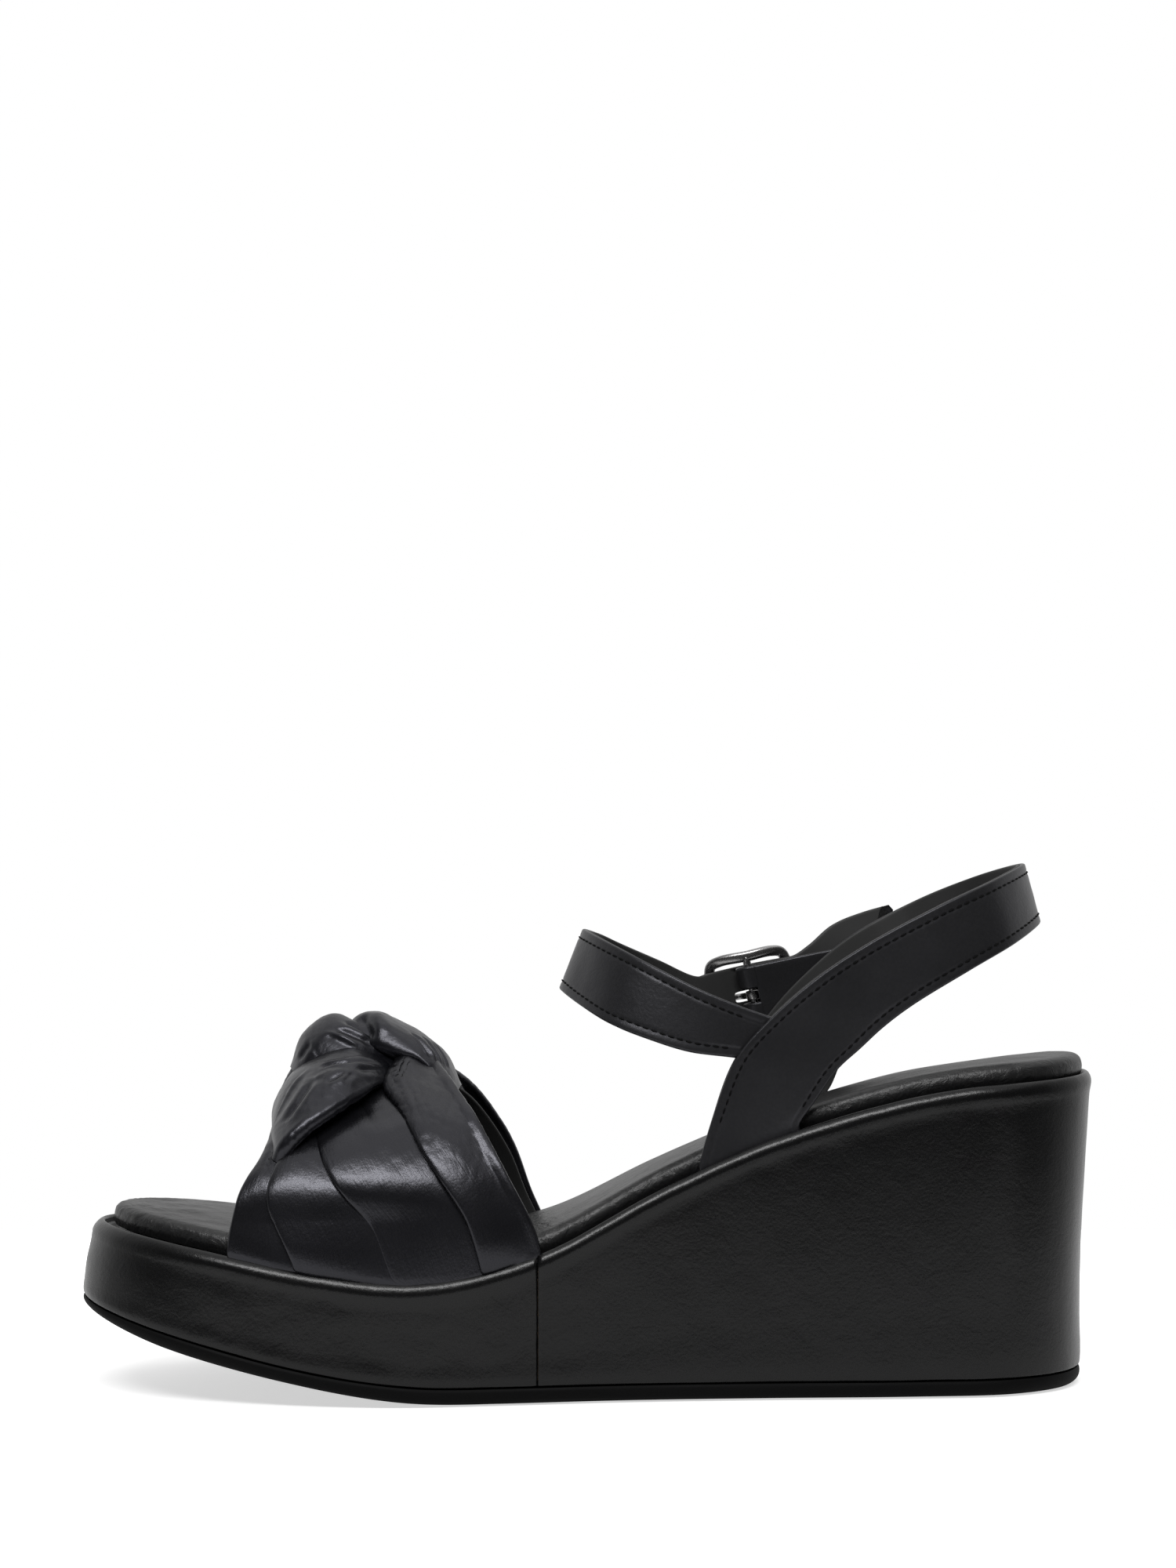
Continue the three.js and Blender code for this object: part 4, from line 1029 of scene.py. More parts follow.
def pleat_skin(k, side, lift, count=160, across=48):
    """
    The face of one pleat: the band's face between the pleat's own folded edge and a little past the next one,
    lifted off the band at the folded edge and level with it where the next pleat covers it.
    """
    index = np.linspace(4, 10.15, count)
    column = index[:, None]
    name = PLEAT_NAMES[k]
    first = hermite(PLEAT_EDGES[k])(index)
    last = np.ones(count) if name == "rear" else np.minimum(hermite(PLEAT_EDGES[k + 1])(index) + PLEAT_LAP, 1)
    t = np.linspace(0, 1, across)
    t = t + 0.06 * np.sin(2 * math.pi * t)
    share = first[:, None] + (last - first)[:, None] * t
    columns = band_columns()
    real = index if side < 0 else len(columns[0]) - 1 - index
    points, normal = strap_face(columns, real, share)
    free = smoothstep(column, 4.2, 5.6)
    fade = free
    if name == "middle":
        fade = fade * (0.12 + 0.88 * smoothstep(column, 5.8, 7.2))
    swell = np.sin(math.pi * t) ** 0.8 * smoothstep(column, 6.0, 8.4)
    up = lift * fade * (1 - smoothstep(t, 0, 0.92)) + PLEAT_SWELL * swell * free
    up = up + 0.25 * smoothstep(column, 6, 8) * wave(points, 31 + k, 13)
    if name == "rear":
        # A rolled rear edge, a stand-off near the knot, and leather crushed along the folded edge.
        up = up + 0.7 * np.exp(-((1 - t) / 0.10) ** 2) * smoothstep(column, 5, 7)
        up = up + 2.0 * smoothstep(column, 8.3, 9.7) * (1 - smoothstep(t, 0.2, 0.9))
        crush = wave(points * np.array([1.6, 1, 1]), 77, 2.2, 2) * np.exp(-(t / 0.45) ** 2)
        up = up + 0.26 * crush * smoothstep(column, 7.6, 8.6)
        up = up + 0.06 * wave(points, 83, 1.9, 2) * smoothstep(column, 6.4, 7.8)
    if name == "front":
        # Leather crushed where the pleat runs in under the knot.
        crush = wave(points * np.array([1.4, 1, 1]), 71, 4.5, 3) * smoothstep(column, 7.2, 8.0)
        up = up + 0.5 * crush * smoothstep(t, 0.05, 0.2)
    if name == "middle":
        # A dent that slants across the pleat below the knot.
        nip = np.exp(-(((t - 0.46) + 0.06 * (column - 8.5)) / 0.05) ** 2)
        up = up - 0.6 * nip * smoothstep(column, 7.9, 8.7)
    if side > 0:
        points, normal, up = points[::-1], normal[::-1], up[::-1]
    return points + normal * up[..., None]


class MakeFrontBand(Maker):
    """
    The front band: four folded pleats on each side, each a leaf that laps over the one in front of it, and a
    lining under them all.
    """
    bl_idname = "sandal.front_band"
    bl_label = "Pleated front band"

    def make(self, sizes, colours):
        material = leather("upper_leather", colours.upper, 0.30, grain=0.0007, depth=0.00005, crease=0.06,
                           specular=0.50, spread=0.10, streak=0.55, tint_of_gloss=(0.90, 0.90, 1, 1))
        for side, where in ((-1, "inner"), (1, "outer")):
            node = f"front_band_{where}_half"
            for k, place in enumerate(PLEAT_NAMES):
                skin = pleat_skin(k, side, sizes.pleat_lift / MM if k else FRONT_PLEAT_LIFT)
                piece = leaf(f"{place}_pleat_{where}", skin, sizes.pleat / MM)
                dress(piece, material)
                settle(piece, "sole", "upper_leather", *([node] if k == 0 else []))
        columns = band_columns()
        last = len(columns[0]) - 1
        index = np.linspace(LASTED - 1, last - LASTED + 1, 150)
        skin, normal = strap_skin(columns, index, UPPER + GAP + 0.35, LINING)
        lining = leaf("front_band_lining_leather", skin, LINING, outward=normal)
        dress(lining, lining_leather(colours))
        settle(lining, "sole", "lining_leather", "front_band_lining")


# The knot's folded leaves: control points from the back edge to the near edge, each along the leaf.
KNOT_LEAVES = {
    "knot_wrap_inner": [
        [(-76.6, -10, 60), (-77.3, -4, 67), (-73.3, -2, 74.5), (-66, -4, 80.8), (-58, -7, 82.4),
         (-52.5, -5, 81), (-47, 1, 78.5)],
        [(-75.6, -20, 59.8), (-76.4, -14.5, 65.4), (-72.6, -14, 74), (-65.4, -15, 79), (-57.5, -13.8, 81.2),
         (-51.3, -10.5, 79.8), (-46, -2, 77)],
        [(-75.4, -29, 58.4), (-74.8, -28.4, 63.6), (-70, -29, 69.4), (-63.4, -28.2, 74), (-57, -24.6, 77.2),
         (-50.8, -17.5, 77.6), (-46, -4.5, 75.5)],
        [(-75, -33.6, 57.4), (-73, -35.2, 61.4), (-67.4, -34.6, 66.6), (-61.2, -32.2, 70), (-55.6, -28, 72.6),
         (-50.6, -20.5, 74.4), (-46.5, -7, 73)]],
    "knot_lobe_front": [
        [(-72, 5, 74), (-70, 7, 82), (-63.5, 7, 86.5), (-57, 5, 86), (-51, 2, 83)],
        [(-73.2, -1, 76.5), (-70, -0.5, 85), (-63, 0.5, 89.6), (-56.5, -0.5, 87.3), (-50, -3, 83.5)],
        [(-71.8, -8, 75.5), (-68, -8, 82.6), (-61.8, -8, 86), (-55.5, -8, 84.6), (-49.5, -7, 81.2)],
        [(-70, -11.5, 72), (-65.5, -12.5, 76.5), (-60, -12.8, 79.4), (-54.5, -11.7, 79.4), (-49, -9, 78)]],
    "knot_lobe_rear": [
        [(-62, 6, 79), (-57, 9, 85), (-51.5, 10, 87.5), (-45, 10, 85.6), (-39.5, 9.5, 82), (-34.6, 9, 77),
         (-31.5, 9, 70.5)],
        [(-61, 2, 84), (-57, 1.5, 88.9), (-52, 1, 90), (-45.5, 1, 87.2), (-39.5, 0.5, 83.8), (-34.4, 0, 79),
         (-31.2, -1, 72)],
        [(-60, -2, 81.5), (-56.4, -4, 86.4), (-51.6, -6.6, 87.2), (-45.5, -8.5, 85), (-40, -9, 81.8),
         (-35.6, -9.5, 77), (-32.6, -10, 70.4)],
        [(-58.5, -3, 76.5), (-55.4, -6, 80.6), (-51.2, -9.4, 82), (-46, -11, 80.8), (-41.5, -11.8, 79.6),
         (-37.8, -12.5, 76.4), (-35.2, -13, 70)],
        [(-57.5, 1, 73), (-54.4, 0, 75.6), (-50.8, -3, 77.4), (-46, -6, 76.8), (-41.8, -7.5, 75.6),
         (-38.4, -9.5, 72.6), (-36.4, -11, 67)]],
    "knot_wrap_outer": [
        [(-45, -1, 82), (-40.5, 6, 79.6), (-36, 13, 76), (-32, 21, 70.5), (-29, 27.5, 64)],
        [(-50, 3, 86.4), (-44, 10, 83.4), (-38.5, 18.5, 78), (-34, 26, 70.5), (-31.5, 31.5, 62.5)],
        [(-55, 7, 84.6), (-47.5, 16, 81), (-42, 24, 74.5), (-37, 30, 66), (-35, 33.3, 59.5)]],
    "knot_lobe_outer": [
        [(-64, 0, 83), (-72, 9, 77.5), (-77, 18, 68.5), (-78, 25, 60)],
        [(-58, 5, 86), (-66, 15, 80.5), (-71.6, 24, 71), (-73, 30, 61.5)],
        [(-52, 9, 83), (-58.5, 19, 77.5), (-63.5, 27.5, 69), (-65.5, 32.5, 60)]],
}
# Creases of a leaf, as (start, end, width, depth): places are (share along, share across).
KNOT_CREASES = {
    "knot_wrap_inner": [
        ((0.228, 0.794), (0.497, 0.524), 1.1, 0.6), ((0.154, 0.603), (0.47, 0.381), 0.8, -0.35),
        ((0.497, 0.429), (0.685, 0.54), 0.65, 0.7), ((0.617, 0.508), (0.879, 0.587), 0.8, 0.5),
        ((0.517, 0.651), (0.651, 0.651), 0.8, 0.55), ((0.611, 0.794), (0.698, 0.698), 0.7, 0.25),
        ((0.685, 0.667), (0.899, 0.73), 0.9, 0.5), ((0.45, 0.54), (0.584, 0.556), 1.0, -0.3)],
    "knot_lobe_front": [
        ((0.483, 0.651), (0.893, 0.746), 0.95, 0.75), ((0.389, 0.651), (0.732, 0.873), 0.7, -0.3),
        ((0.597, 0.524), (0.886, 0.556), 1.2, 0.8), ((0.081, 0.651), (0.282, 0.683), 1.0, 0.4)],
    "knot_lobe_rear": [
        ((0.201, 0.333), (0.282, 0.698), 1.6, 1.1), ((0.55, 0.397), (0.758, 0.54), 0.42, 0.8),
        ((0.624, 0.349), (0.812, 0.492), 0.42, 0.8), ((0.691, 0.286), (0.872, 0.429), 0.42, 0.7)],
    "knot_wrap_outer": [
        ((0.05, 0.3), (0.95, 0.36), 0.9, 0.9), ((0.1, 0.62), (0.95, 0.66), 0.9, 0.9)],
    "knot_lobe_outer": [
        ((0.05, 0.35), (0.95, 0.4), 0.9, 0.9), ((0.1, 0.7), (0.9, 0.72), 0.9, 0.7)],
}


def crease_depth(skin, start, end, width, depth):
    """
    How far a crease sinks the leather: a narrow valley with raised lips, by the distance from the line on the
    skin between two (share along, share across) places. It dies away at both ends, and a ridge has a depth
    below 0.
    """
    share = np.linspace(0, 1, 60)
    size = np.array(skin.shape[:2]) - 1
    at = np.clip(np.array(start) * (1 - share[:, None]) + np.array(end) * share[:, None], 0, 1) * size
    k = np.minimum(at.astype(int), size - 1)
    part = (at - k)[:, :, None]
    near = skin[k[:, 0], k[:, 1]] * (1 - part[:, 1]) + skin[k[:, 0], k[:, 1] + 1] * part[:, 1]
    far = skin[k[:, 0] + 1, k[:, 1]] * (1 - part[:, 1]) + skin[k[:, 0] + 1, k[:, 1] + 1] * part[:, 1]
    line = near * (1 - part[:, 0]) + far * part[:, 0]
    away = np.linalg.norm(skin[:, :, None] - line, axis=-1)
    off, t = away.min(-1), share[away.argmin(-1)]
    ends = smoothstep(t, 0, 0.3) * (1 - smoothstep(t, 0.7, 1))
    valley = np.exp(-(off / width) ** 2)
    lips = np.exp(-((off - 2.2 * width) / (1.3 * width)) ** 2)
    return depth * (valley - 0.45 * lips) * ends


def knot_skin(name, count=190, across=96):
    """A folded leaf of the knot: a spline grid through its control points, creased along its length."""
    control = np.array(KNOT_LEAVES[name], float)
    rows = spline(control.transpose(1, 0, 2), np.linspace(0, control.shape[1] - 1, count))
    t = np.linspace(0, 1, across)
    skin = spline(rows.transpose(1, 0, 2), t * (control.shape[0] - 1)).transpose(1, 0, 2)
    sunk = sum(crease_depth(skin, *crease) for crease in KNOT_CREASES[name])
    normal = facing(skin)
    if normal[..., 2].mean() < 0:
        skin, sunk = skin[:, ::-1], sunk[:, ::-1]
        normal = facing(skin)
    return skin - normal * (sunk - 0.16 * wave(skin, 51, 9))[..., None]


DOUBLE_FOLD = 1.4  # how much thicker the inner wrap's doubled leather is
KNOT_MIDDLE = np.array([-57, 1, 75.5])
KNOT_MIDDLE_HALF = np.array([14, 15, 7.5])


class MakeKnot(Maker):
    """The knot: folded leaves that wrap over one another and meet in a hollow, round a packed middle."""
    bl_idname = "sandal.knot"
    bl_label = "Knot"

    def make(self, sizes, colours):
        # The knot's colour is the band's leather made lighter and bluer as painted light for its sheen.
        material = leather("knot_leather", colours.knot, 0.33, grain=0.0007, depth=0.00005, crease=0.10,
                           specular=0.50, spread=0.10, streak=0.1, tint_of_gloss=(0.90, 0.90, 1, 1))
        stands_for = {"knot_wrap_inner": ["knot_loop_over"], "knot_lobe_front": ["knot_loop_under"]}
        for name in KNOT_LEAVES:
            fold = DOUBLE_FOLD if name == "knot_wrap_inner" else 1.0
            piece = leaf(name, knot_skin(name), sizes.knot_leather / MM * fold, arc=12)
            dress(piece, material)
            settle(piece, "sole", "upper_leather", *stands_for.get(name, []))
        turn = full_turn(72)
        tilt = np.linspace(0.03, math.pi - 0.03, 40)
        ball = np.stack([np.outer(np.sin(tilt), np.cos(turn)), np.outer(np.sin(tilt), np.sin(turn)),
                         np.outer(np.cos(tilt), np.ones(72))], -1)
        lump = ball * KNOT_MIDDLE_HALF + KNOT_MIDDLE
        piece = surface("knot_middle", lump + ball * (0.5 * wave(lump, 22, 8))[..., None])
        dress(piece, material)
        settle(piece, "sole", "upper_leather")


def edge_rows(columns, index):
    """Lines at the stitch inset from each edge of a strap, a little under its face, with their normals."""
    ends = [spline(columns[k], index) for k in (0, -1)]
    part = STITCH_INSET / np.linalg.norm(ends[0] - ends[1], axis=-1)
    rows = []
    for share in (part, 1 - part):
        points, normal = strap_face(columns, index, share[:, None])
        rows.append((points[:, 0] - normal[:, 0] * STITCH_SINK, normal[:, 0]))
    return rows


def sew(name, columns, index, sizes, colours):
    """A strap's two rows of stitches as one piece, dressed in thread."""
    sewn = stitches(name, edge_rows(columns, index), sizes.stitch_pitch / MM, sizes.stitch_length / MM,
                    sizes.thread / MM)
    return dress(sewn, thread_finish(colours))


class MakeHeelStrap(Maker):
    """
    The heel strap and its lining: spline columns from the lasted ends round the heel, with two rows of
    stitches.
    """
    bl_idname = "sandal.heel_strap"
    bl_label = "Heel strap"
    # Two places between the sole and the loop, in metres.
    start, end = (0.041, 0.0, 0.062), (0.047, 0.0, 0.084)

    def make(self, sizes, colours):
        columns = heel_columns()
        last = len(columns[0]) - 1
        index = np.linspace(0, last, 420)
        thick, lining = sizes.strap_leather / MM, sizes.lining / MM
        skin, normal = strap_skin(columns, index, 0.0, thick, channel=CHANNEL, soft=0.10)
        strap = leaf("heel_strap_leather", skin, thick, outward=normal)
        dress(strap, strap_leather(colours))
        self.hang(strap, "upper_leather", "heel_strap", "heel_strap_root_inner", "heel_strap_root_outer")

        index = np.linspace(LASTED - 0.6, last - LASTED + 0.6, 380)
        held = sum(smoothstep(index, a - 0.5, a) * (1 - smoothstep(index, b, b + 0.5)) for a, b in SANDWICHES)
        away = UPPER + GAP + SANDWICH_DEPTH * held
        skin, normal = strap_skin(columns, index, away, lining, soft=0.06, seed=6)
        inside = leaf("heel_strap_lining_leather", skin, lining, outward=normal)
        dress(inside, lining_leather(colours))
        self.hang(inside, "lining_leather", "heel_strap_lining")

        index = np.linspace(LASTED - 0.3, last - LASTED + 0.3, 700)
        sewn = sew("heel_strap_stitches", columns, index, sizes, colours)
        self.hang(sewn, "upper_leather")

    def hang(self, piece, slot, *nodes):
        """Bakes a piece's place into its mesh and lets it stand for its solids; its slot is not used."""
        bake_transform(piece)
        if nodes:
            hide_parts(*nodes)


SPARE_HOLES = (9.4, 10.4, 20.2, 21)  # point numbers along the ankle strap
HOLE_RADIUS = 0.9
HOLE_REACH = (-4, 2)  # from under the strap to over it, along its normal
SLOT_MIDDLE = -1.9
SLOT_HALF = (2.8, 1.4)
SLOT_REACH = (0.6, 7)


def hole_rods(columns):
    """Rods through the ankle strap's middle at its spare holes, and a rounded block at the prong's slot."""
    w = full_turn(32)
    rods = []
    for index in SPARE_HOLES:
        middle, normal = (v[0, 0] for v in strap_face(columns, np.array([index]), np.array([[0.5]])))
        side = unit(np.cross(normal, np.array([0.0, 0.0, 1.0])))
        up = np.cross(side, normal)
        circle = HOLE_RADIUS * (np.outer(np.cos(w), side) + np.outer(np.sin(w), up))
        rods.append(np.array([middle + normal * depth + circle for depth in HOLE_REACH]))
    out = squared(w, 6)
    a, b = SLOT_MIDDLE + SLOT_HALF[0] * np.cos(w) * out, SLOT_HALF[1] * np.sin(w) * out
    rods.append(at_buckle([np.stack([a, np.full(len(w), n), b], -1) for n in SLOT_REACH]))
    return rods


def punch(piece, rods):
    """Cuts rods out of a piece, keeps what is left as its mesh, and makes the holes' edges sharp."""
    cutter = join_grids("cutter", rods)
    holes = piece.modifiers.new("holes", "BOOLEAN")
    holes.operation, holes.solver, holes.object = "DIFFERENCE", "EXACT", cutter
    bpy.context.view_layer.update()
    found = bpy.context.evaluated_depsgraph_get()
    mesh = bpy.data.meshes.new_from_object(piece.evaluated_get(found))
    if len(mesh.polygons) == len(piece.data.polygons):
        raise RuntimeError(f"no holes were cut in {piece.name}")
    piece.modifiers.clear()
    piece.data = mesh
    mesh.set_sharp_from_angle(angle=math.radians(50))
    bpy.data.objects.remove(cutter)


# The tab: point numbers along its path where its slit for the prong starts and ends, and its sizes.
TAB_SLIT = (3.2, 9.0)
TAB_LAP = 0.1
TAB_HALF = 7.5
TAB_SLIT_HALF = 1.8
TAB_LEATHER = 1.1
TAB_EDGE = 0.5  # room for the rounded edge
TAB_ROWS, TAB_COLUMNS = 60, 16


class MakeAnkleStrap(Maker):
    """The ankle strap with its lining, its stitches, and the folded tab that holds the buckle's bar."""
    bl_idname = "sandal.ankle_strap"
    bl_label = "Ankle strap"

    def make(self, sizes, colours):
        columns = ankle_columns()
        last = len(columns[0]) - 1
        thick, lining = sizes.strap_leather / MM, sizes.lining / MM
        index = np.linspace(0, last, 460)
        skin, normal = strap_skin(columns, index, 0.0, thick, channel=CHANNEL, soft=0.08, seed=15)
        strap = leaf("ankle_strap_leather", skin, thick, outward=normal)
        rods = hole_rods(columns)
        punch(strap, rods)
        dress(strap, strap_leather(colours))
        settle(strap, "ankle_loop", "upper_leather", "ankle_strap")

        index = np.linspace(1.5, 22.75, 400)
        skin, normal = strap_skin(columns, index, UPPER + GAP, lining, seed=16)
        inside = leaf("ankle_strap_lining_leather", skin, lining, outward=normal)
        punch(inside, rods)
        dress(inside, lining_leather(colours))
        settle(inside, "ankle_loop", "lining_leather", "ankle_strap_lining")

        sewn = sew("ankle_strap_stitches", columns, np.linspace(1.3, 22.3, 700), sizes, colours)
        settle(sewn, "ankle_loop", "upper_leather")

        first, second = TAB_SLIT
        slit = (first - TAB_LAP, second + TAB_LAP)
        parts = [(0, first, -TAB_HALF, TAB_HALF), (*slit, -TAB_HALF, -TAB_SLIT_HALF),
                 (*slit, TAB_SLIT_HALF, TAB_HALF), (second, len(TAB_PATH) - 1, -TAB_HALF, TAB_HALF)]
        tab = join_grids("buckle_tab_leather", [self.tab_part(*part) for part in parts])
        dress(tab, strap_leather(colours))
        settle(tab, "ankle_loop", "upper_leather", "buckle_tab")

    def tab_part(self, low, high, left, right):
        """A strip of the tab between two path points and two places across it."""
        shape = (TAB_ROWS, TAB_COLUMNS)
        index = np.linspace(low, high, TAB_ROWS)
        path = spline(TAB_PATH, index)
        step = unit(spline_step(TAB_PATH, index))
        side = np.stack([-step[:, 1], step[:, 0]], 1)
        b = np.linspace(left + TAB_EDGE, right - TAB_EDGE, TAB_COLUMNS)
        slant = smoothstep(path[:, 0], 8, 19) * 0.5
        face = path + side * (TAB_LEATHER / 2)
        grid = np.stack([face[:, [0]] + slant[:, None] * b, np.broadcast_to(face[:, [1]], shape),
                         np.broadcast_to(b, shape)], -1)
        out = np.stack([side[:, 0], side[:, 1], 0 * side[:, 0]], 1)[:, None] + np.zeros(shape + (1,))
        return leaf_grid(at_buckle(grid), TAB_LEATHER, outward=unit(at_buckle(out) - BUCKLE))


RAIL_SQUARENESS = 3.2


def tube(path, radius, around=20, closed=False, flat=1.0, up=(0, 1, 0)):
    """
    Sections carried along a path of (a, n, b) points: round, or with flat below 1 a rounded square squeezed
    along the up direction.
    """
    if closed:
        step = unit(np.roll(path, -1, 0) - np.roll(path, 1, 0))
    else:
        step = unit(np.gradient(path, axis=0))
    side = unit(np.cross(step, np.array(up, float)))
    lift = unit(np.cross(side, step))
    w = full_turn(around)
    out = squared(w, RAIL_SQUARENESS) if flat < 1 else np.ones(around)
    r = np.broadcast_to(np.asarray(radius, float).reshape(-1, 1, 1), (len(path), 1, 1))
    c, s = (np.cos(w) * out)[None, :, None], (np.sin(w) * out * flat)[None, :, None]
    return path[:, None] + r * (side[:, None] * c + lift[:, None] * s)


FRAME_HALF = 10
FRAME_CORNER = [(1, 0), (1, 0.66), (0.91, 0.91), (0.66, 1)]  # a quarter of the outline, in FRAME_HALF
FRAME_BOW = 3.4  # how far the frame's ends stand out from its bar
RAIL_RADIUS, RAIL_FLAT = 1.35, 0.74
BAR_RADIUS = 1.0
PRONG_PATH = [(-0.9, 1.1, 0), (-2.2, 2.9, 0), (-3.6, 4.6, 0), (-5.5, 5.45, 0), (-8.5, 5.6, 0),
              (-11.3, 5.6, 0)]
EYE_RADIUS, EYE_WALL, EYE_HALF = 1.575, 0.32, 1.2


class MakeBuckle(Maker):
    """The buckle: a bowed frame of rounded rails, a bar across its middle, and a prong bent round the bar."""
    bl_idname = "sandal.buckle"
    bl_label = "Buckle and prong"

    def make(self, sizes, colours):
        metal = cast_metal("buckle_metal", colours.metal, 0.26)
        corner, outline = FRAME_CORNER, []
        for _ in range(4):
            outline += corner
            corner = [(-b, a) for a, b in corner]
        loop = np.array([(a * FRAME_HALF, FRAME_BOW * a * a, b * FRAME_HALF) for a, b in outline])
        path = spline(loop, np.linspace(0, len(loop), 240, endpoint=False), closed=True)
        rail = tube(path, RAIL_RADIUS, closed=True, flat=RAIL_FLAT)
        rails = surface("buckle_rails", at_buckle(rail), along=True)
        b = np.linspace(-FRAME_HALF, FRAME_HALF, 30)
        bar = np.stack([0 * b, 0 * b, b], 1)
        cross_bar = surface("buckle_bar", at_buckle(tube(bar, BAR_RADIUS, around=28)))
        dress(rails, metal)
        dress(cross_bar, metal)
        settle(rails, "buckle", "buckle_metal", "buckle_frame")
        settle(cross_bar, "buckle", "buckle_metal")

        # The prong's arm grows thinner towards its rounded tip.
        index = np.linspace(0, len(PRONG_PATH) - 1, 90)
        path = spline(PRONG_PATH, index)
        radius = 0.8 - 0.2 * smoothstep(index, 2, 5)
        radius = radius * np.sqrt(np.clip(1 - smoothstep(index, 4.75, 5.0) ** 2, 0.02, 1))
        prong = surface("prong_arm", at_buckle(tube(path, radius, around=20, up=(0, 0, 1))))
        w, t = full_turn(64), full_turn(24)
        r, b = EYE_RADIUS + EYE_WALL * np.cos(t) * squared(t, 4), EYE_HALF * np.sin(t) * squared(t, 4)
        eye = np.stack([np.outer(np.cos(w), r), np.outer(np.sin(w), r), np.outer(np.ones(len(w)), b)], -1)
        ring_eye = surface("prong_eye", at_buckle(eye), along=True)
        for piece in (prong, ring_eye):
            dress(piece, metal)
        settle(prong, "prong", "buckle_metal", "buckle_prong")
        settle(ring_eye, "prong", "buckle_metal")


FLOOR_HALF = 0.30
FLOOR_Z = -0.0004
FLOOR_BOUNCE = 0.3  # how much of the floor's own light reaches the sandal
FLOOR_FADE = (0.12, 0.28)  # where the floor's glow starts and ends its rise, which fades the floor to the white round it
OVERHEAD_PLACE, OVERHEAD_TURN, OVERHEAD_SIZE = (-0.12, -0.68, 0.80), (41, 0, 0), (0.8, 0.15)
SUN_PLACE, SUN_TURN, SUN_SPREAD = (0, 0, 2), (12, 6, 0), 70
SENSOR = 36.0  # width of the camera's sensor, in millimetres, that the lens goes with


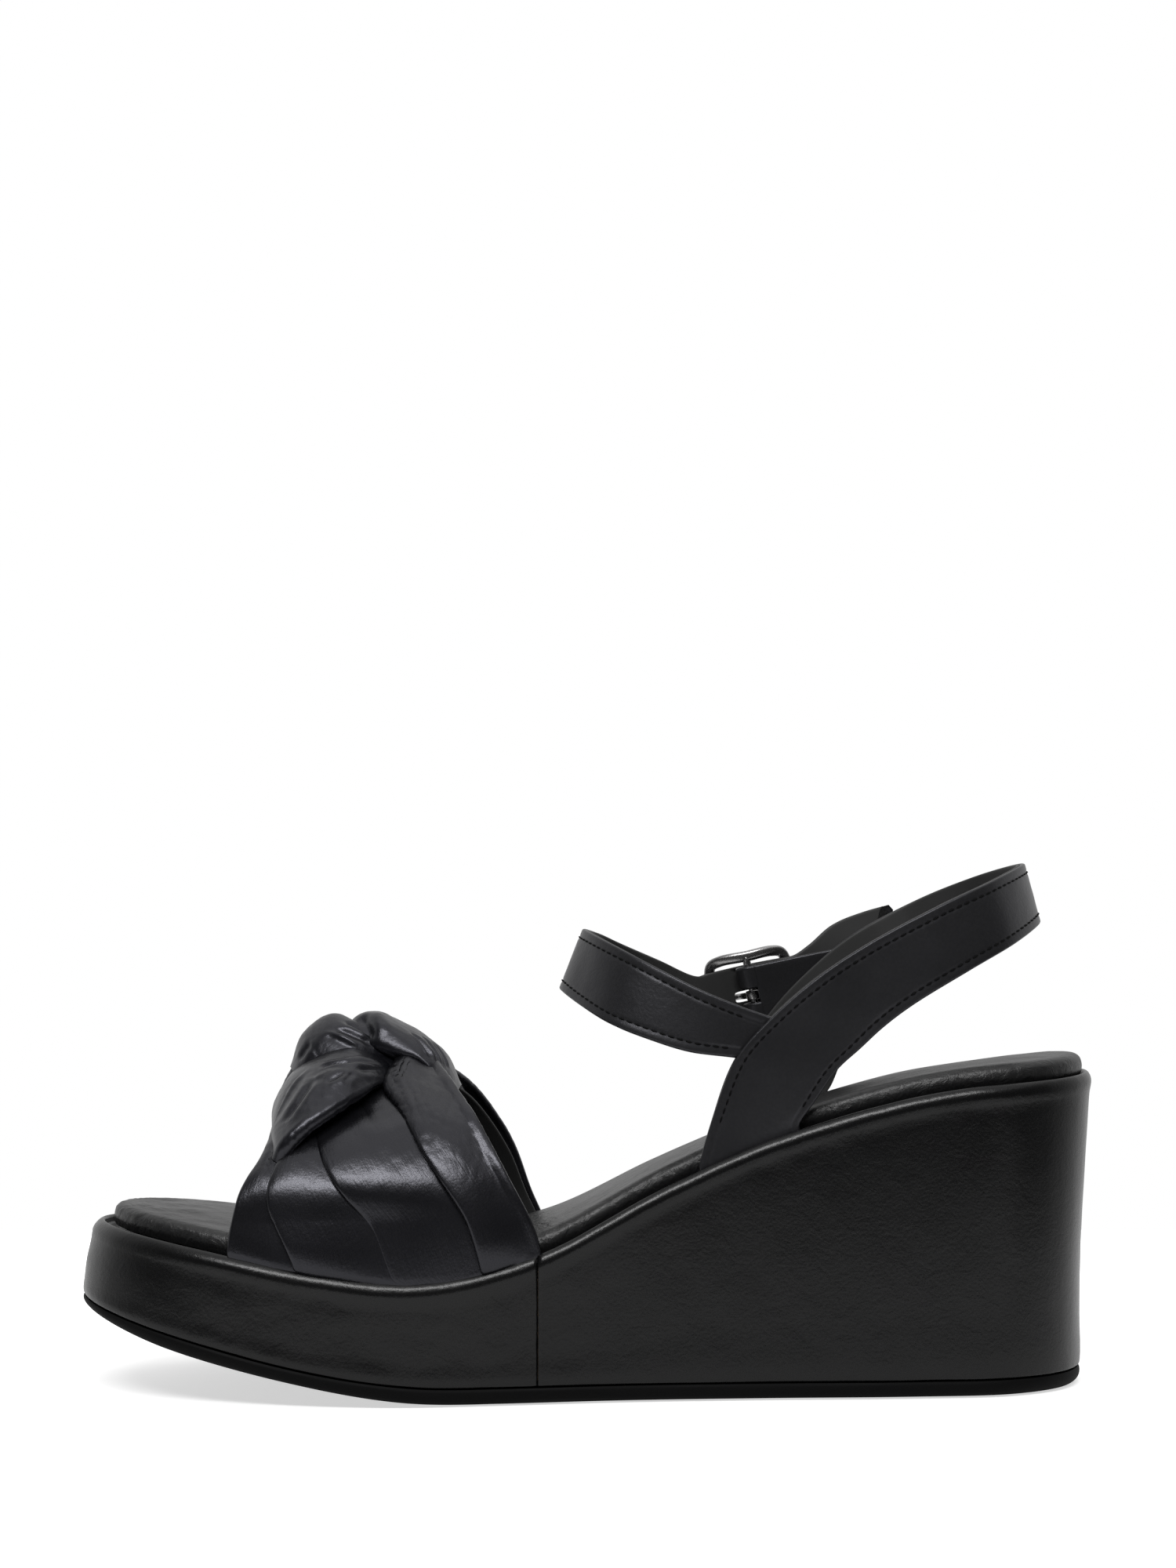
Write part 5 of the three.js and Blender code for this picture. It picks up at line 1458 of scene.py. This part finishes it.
class MakeStudio(bpy.types.Operator):
    """A pale floor, soft lights, pale surroundings and a camera."""
    bl_idname = "sandal.studio"
    bl_label = "Studio"
    bl_options = {"REGISTER", "UNDO"}

    def execute(self, context):
        scene, studio = context.scene, context.scene.sandal_studio
        scene.view_settings.view_transform = "Standard"
        corners = [(-1, -1), (1, -1), (1, 1), (-1, 1)]
        mesh = bpy.data.meshes.new("studio_floor")
        mesh.from_pydata([(a * FLOOR_HALF, b * FLOOR_HALF, FLOOR_Z) for a, b in corners], [], [(0, 1, 2, 3)])
        floor = bpy.data.objects.new("studio_floor", mesh)
        dress(floor, self.floor_finish(scene.sandal_colours.floor))
        wide, deep = OVERHEAD_SIZE
        over = self.light("overhead_light", "AREA", OVERHEAD_PLACE, OVERHEAD_TURN, shape="RECTANGLE",
                          size=wide, size_y=deep, energy=studio.overhead)
        sun = self.light("soft_sun", "SUN", SUN_PLACE, SUN_TURN, energy=studio.sun,
                         angle=math.radians(SUN_SPREAD))
        camera = bpy.data.objects.new("studio_camera", bpy.data.cameras.new("studio_camera"))
        camera.data.lens = studio.lens
        camera.data.sensor_width = SENSOR
        camera.location = (0, -studio.distance, studio.height)
        camera.rotation_euler = (math.radians(90), 0, 0)
        for thing in (floor, over, sun, camera):
            scene.collection.objects.link(thing)
        scene.camera = camera
        self.surroundings(scene, studio)
        return {"FINISHED"}

    def floor_finish(self, base):
        """Pale paint with a glow that grows from 0.6 near the sandal to full strength away from it, so that
        the floor fades to white; rays other than the camera's see the glow at FLOOR_BOUNCE, so it lights the
        sandal less than it shows.
        """
        f = Finish("studio_floor")
        cloudy = f.noise(0.6, 2)
        f.put(f.shader.inputs["Base Color"], f.mix(cloudy, shade(base, 0.99), shade(base, 1.01)))
        f.shader.inputs["Roughness"].default_value = 0.7
        f.shader.inputs["Specular IOR Level"].default_value = 0.2
        f.shader.inputs["Emission Color"].default_value = (1, 1, 1, 1)
        away = f.node("ShaderNodeVectorMath", {"operation": "LENGTH"}, Vector=f.place).outputs["Value"]
        seen = f.band(f.node("ShaderNodeLightPath").outputs["Is Camera Ray"], 0, 1, FLOOR_BOUNCE, 1.0)
        glow = f.math("MULTIPLY", f.band(away, *FLOOR_FADE, 0.6, 1.0), seen)
        f.put(f.shader.inputs["Emission Strength"], glow)
        return f.material

    def light(self, name, kind, place, turn, **settings):
        """A lamp at a place, turned by angles in degrees."""
        data = bpy.data.lights.new(name, kind)
        for key, value in settings.items():
            setattr(data, key, value)
        lamp = bpy.data.objects.new(name, data)
        lamp.location = place
        lamp.rotation_euler = [math.radians(v) for v in turn]
        return lamp

    def surroundings(self, scene, studio):
        """White to the camera; to the leather dim on the camera's side and bright behind the sandal."""
        world = scene.world or bpy.data.worlds.new("studio_world")
        scene.world = world
        world.use_nodes = True
        tree = world.node_tree
        tree.nodes.clear()
        place = tree.nodes.new("ShaderNodeTexCoord")
        split = tree.nodes.new("ShaderNodeSeparateXYZ")
        tree.links.new(place.outputs["Generated"], split.inputs[0])
        ramp = tree.nodes.new("ShaderNodeMapRange")
        ramp.interpolation_type = "SMOOTHSTEP"
        tree.links.new(split.outputs["Y"], ramp.inputs["Value"])
        for key, value in (("From Min", -0.5), ("From Max", 0.6), ("To Min", studio.front),
                           ("To Max", studio.back)):
            ramp.inputs[key].default_value = value
        glow = tree.nodes.new("ShaderNodeBackground")
        tree.links.new(ramp.outputs["Result"], glow.inputs["Strength"])
        white = tree.nodes.new("ShaderNodeBackground")
        white.inputs["Strength"].default_value = 1.0
        for node in (glow, white):
            node.inputs["Color"].default_value = (1, 1, 1, 1)
        rays = tree.nodes.new("ShaderNodeLightPath")
        mixer = tree.nodes.new("ShaderNodeMixShader")
        tree.links.new(rays.outputs["Is Camera Ray"], mixer.inputs[0])
        tree.links.new(glow.outputs[0], mixer.inputs[1])
        tree.links.new(white.outputs[0], mixer.inputs[2])
        out = tree.nodes.new("ShaderNodeOutputWorld")
        tree.links.new(mixer.outputs[0], out.inputs["Surface"])


MAKERS = (MakeOutsole, MakeWraps, MakeFootbed, DressInside, MakeFrontBand, MakeKnot, MakeHeelStrap,
          MakeAnkleStrap, MakeBuckle, MakeStudio)


class SandalPanel(bpy.types.Panel):
    """Lists the makers of the sandal's pieces."""
    bl_idname = "VIEW3D_PT_sandal"
    bl_label = "Wedge sandal"
    bl_space_type = "VIEW_3D"
    bl_region_type = "UI"
    bl_category = "Sandal"

    def draw(self, context):
        for group in ("sandal_sizes", "sandal_colours", "sandal_studio"):
            settings = getattr(context.scene, group)
            box = self.layout.box()
            for key in settings.bl_rna.properties.keys():
                if key not in ("rna_type", "name"):
                    box.prop(settings, key)
        for maker in MAKERS:
            self.layout.operator(maker.bl_idname)


CLASSES = (SandalSizes, SandalColours, SandalStudio) + MAKERS + (SandalPanel,)


def register():
    for item in CLASSES:
        bpy.utils.register_class(item)
    bpy.types.Scene.sandal_sizes = bpy.props.PointerProperty(type=SandalSizes)
    bpy.types.Scene.sandal_colours = bpy.props.PointerProperty(type=SandalColours)
    bpy.types.Scene.sandal_studio = bpy.props.PointerProperty(type=SandalStudio)


def unregister():
    del bpy.types.Scene.sandal_studio
    del bpy.types.Scene.sandal_colours
    del bpy.types.Scene.sandal_sizes
    for item in reversed(CLASSES):
        bpy.utils.unregister_class(item)


def main():
    register()
    for maker in MAKERS:
        group, name = maker.bl_idname.split(".")
        getattr(getattr(bpy.ops, group), name)()


if __name__ == "__main__":
    main()
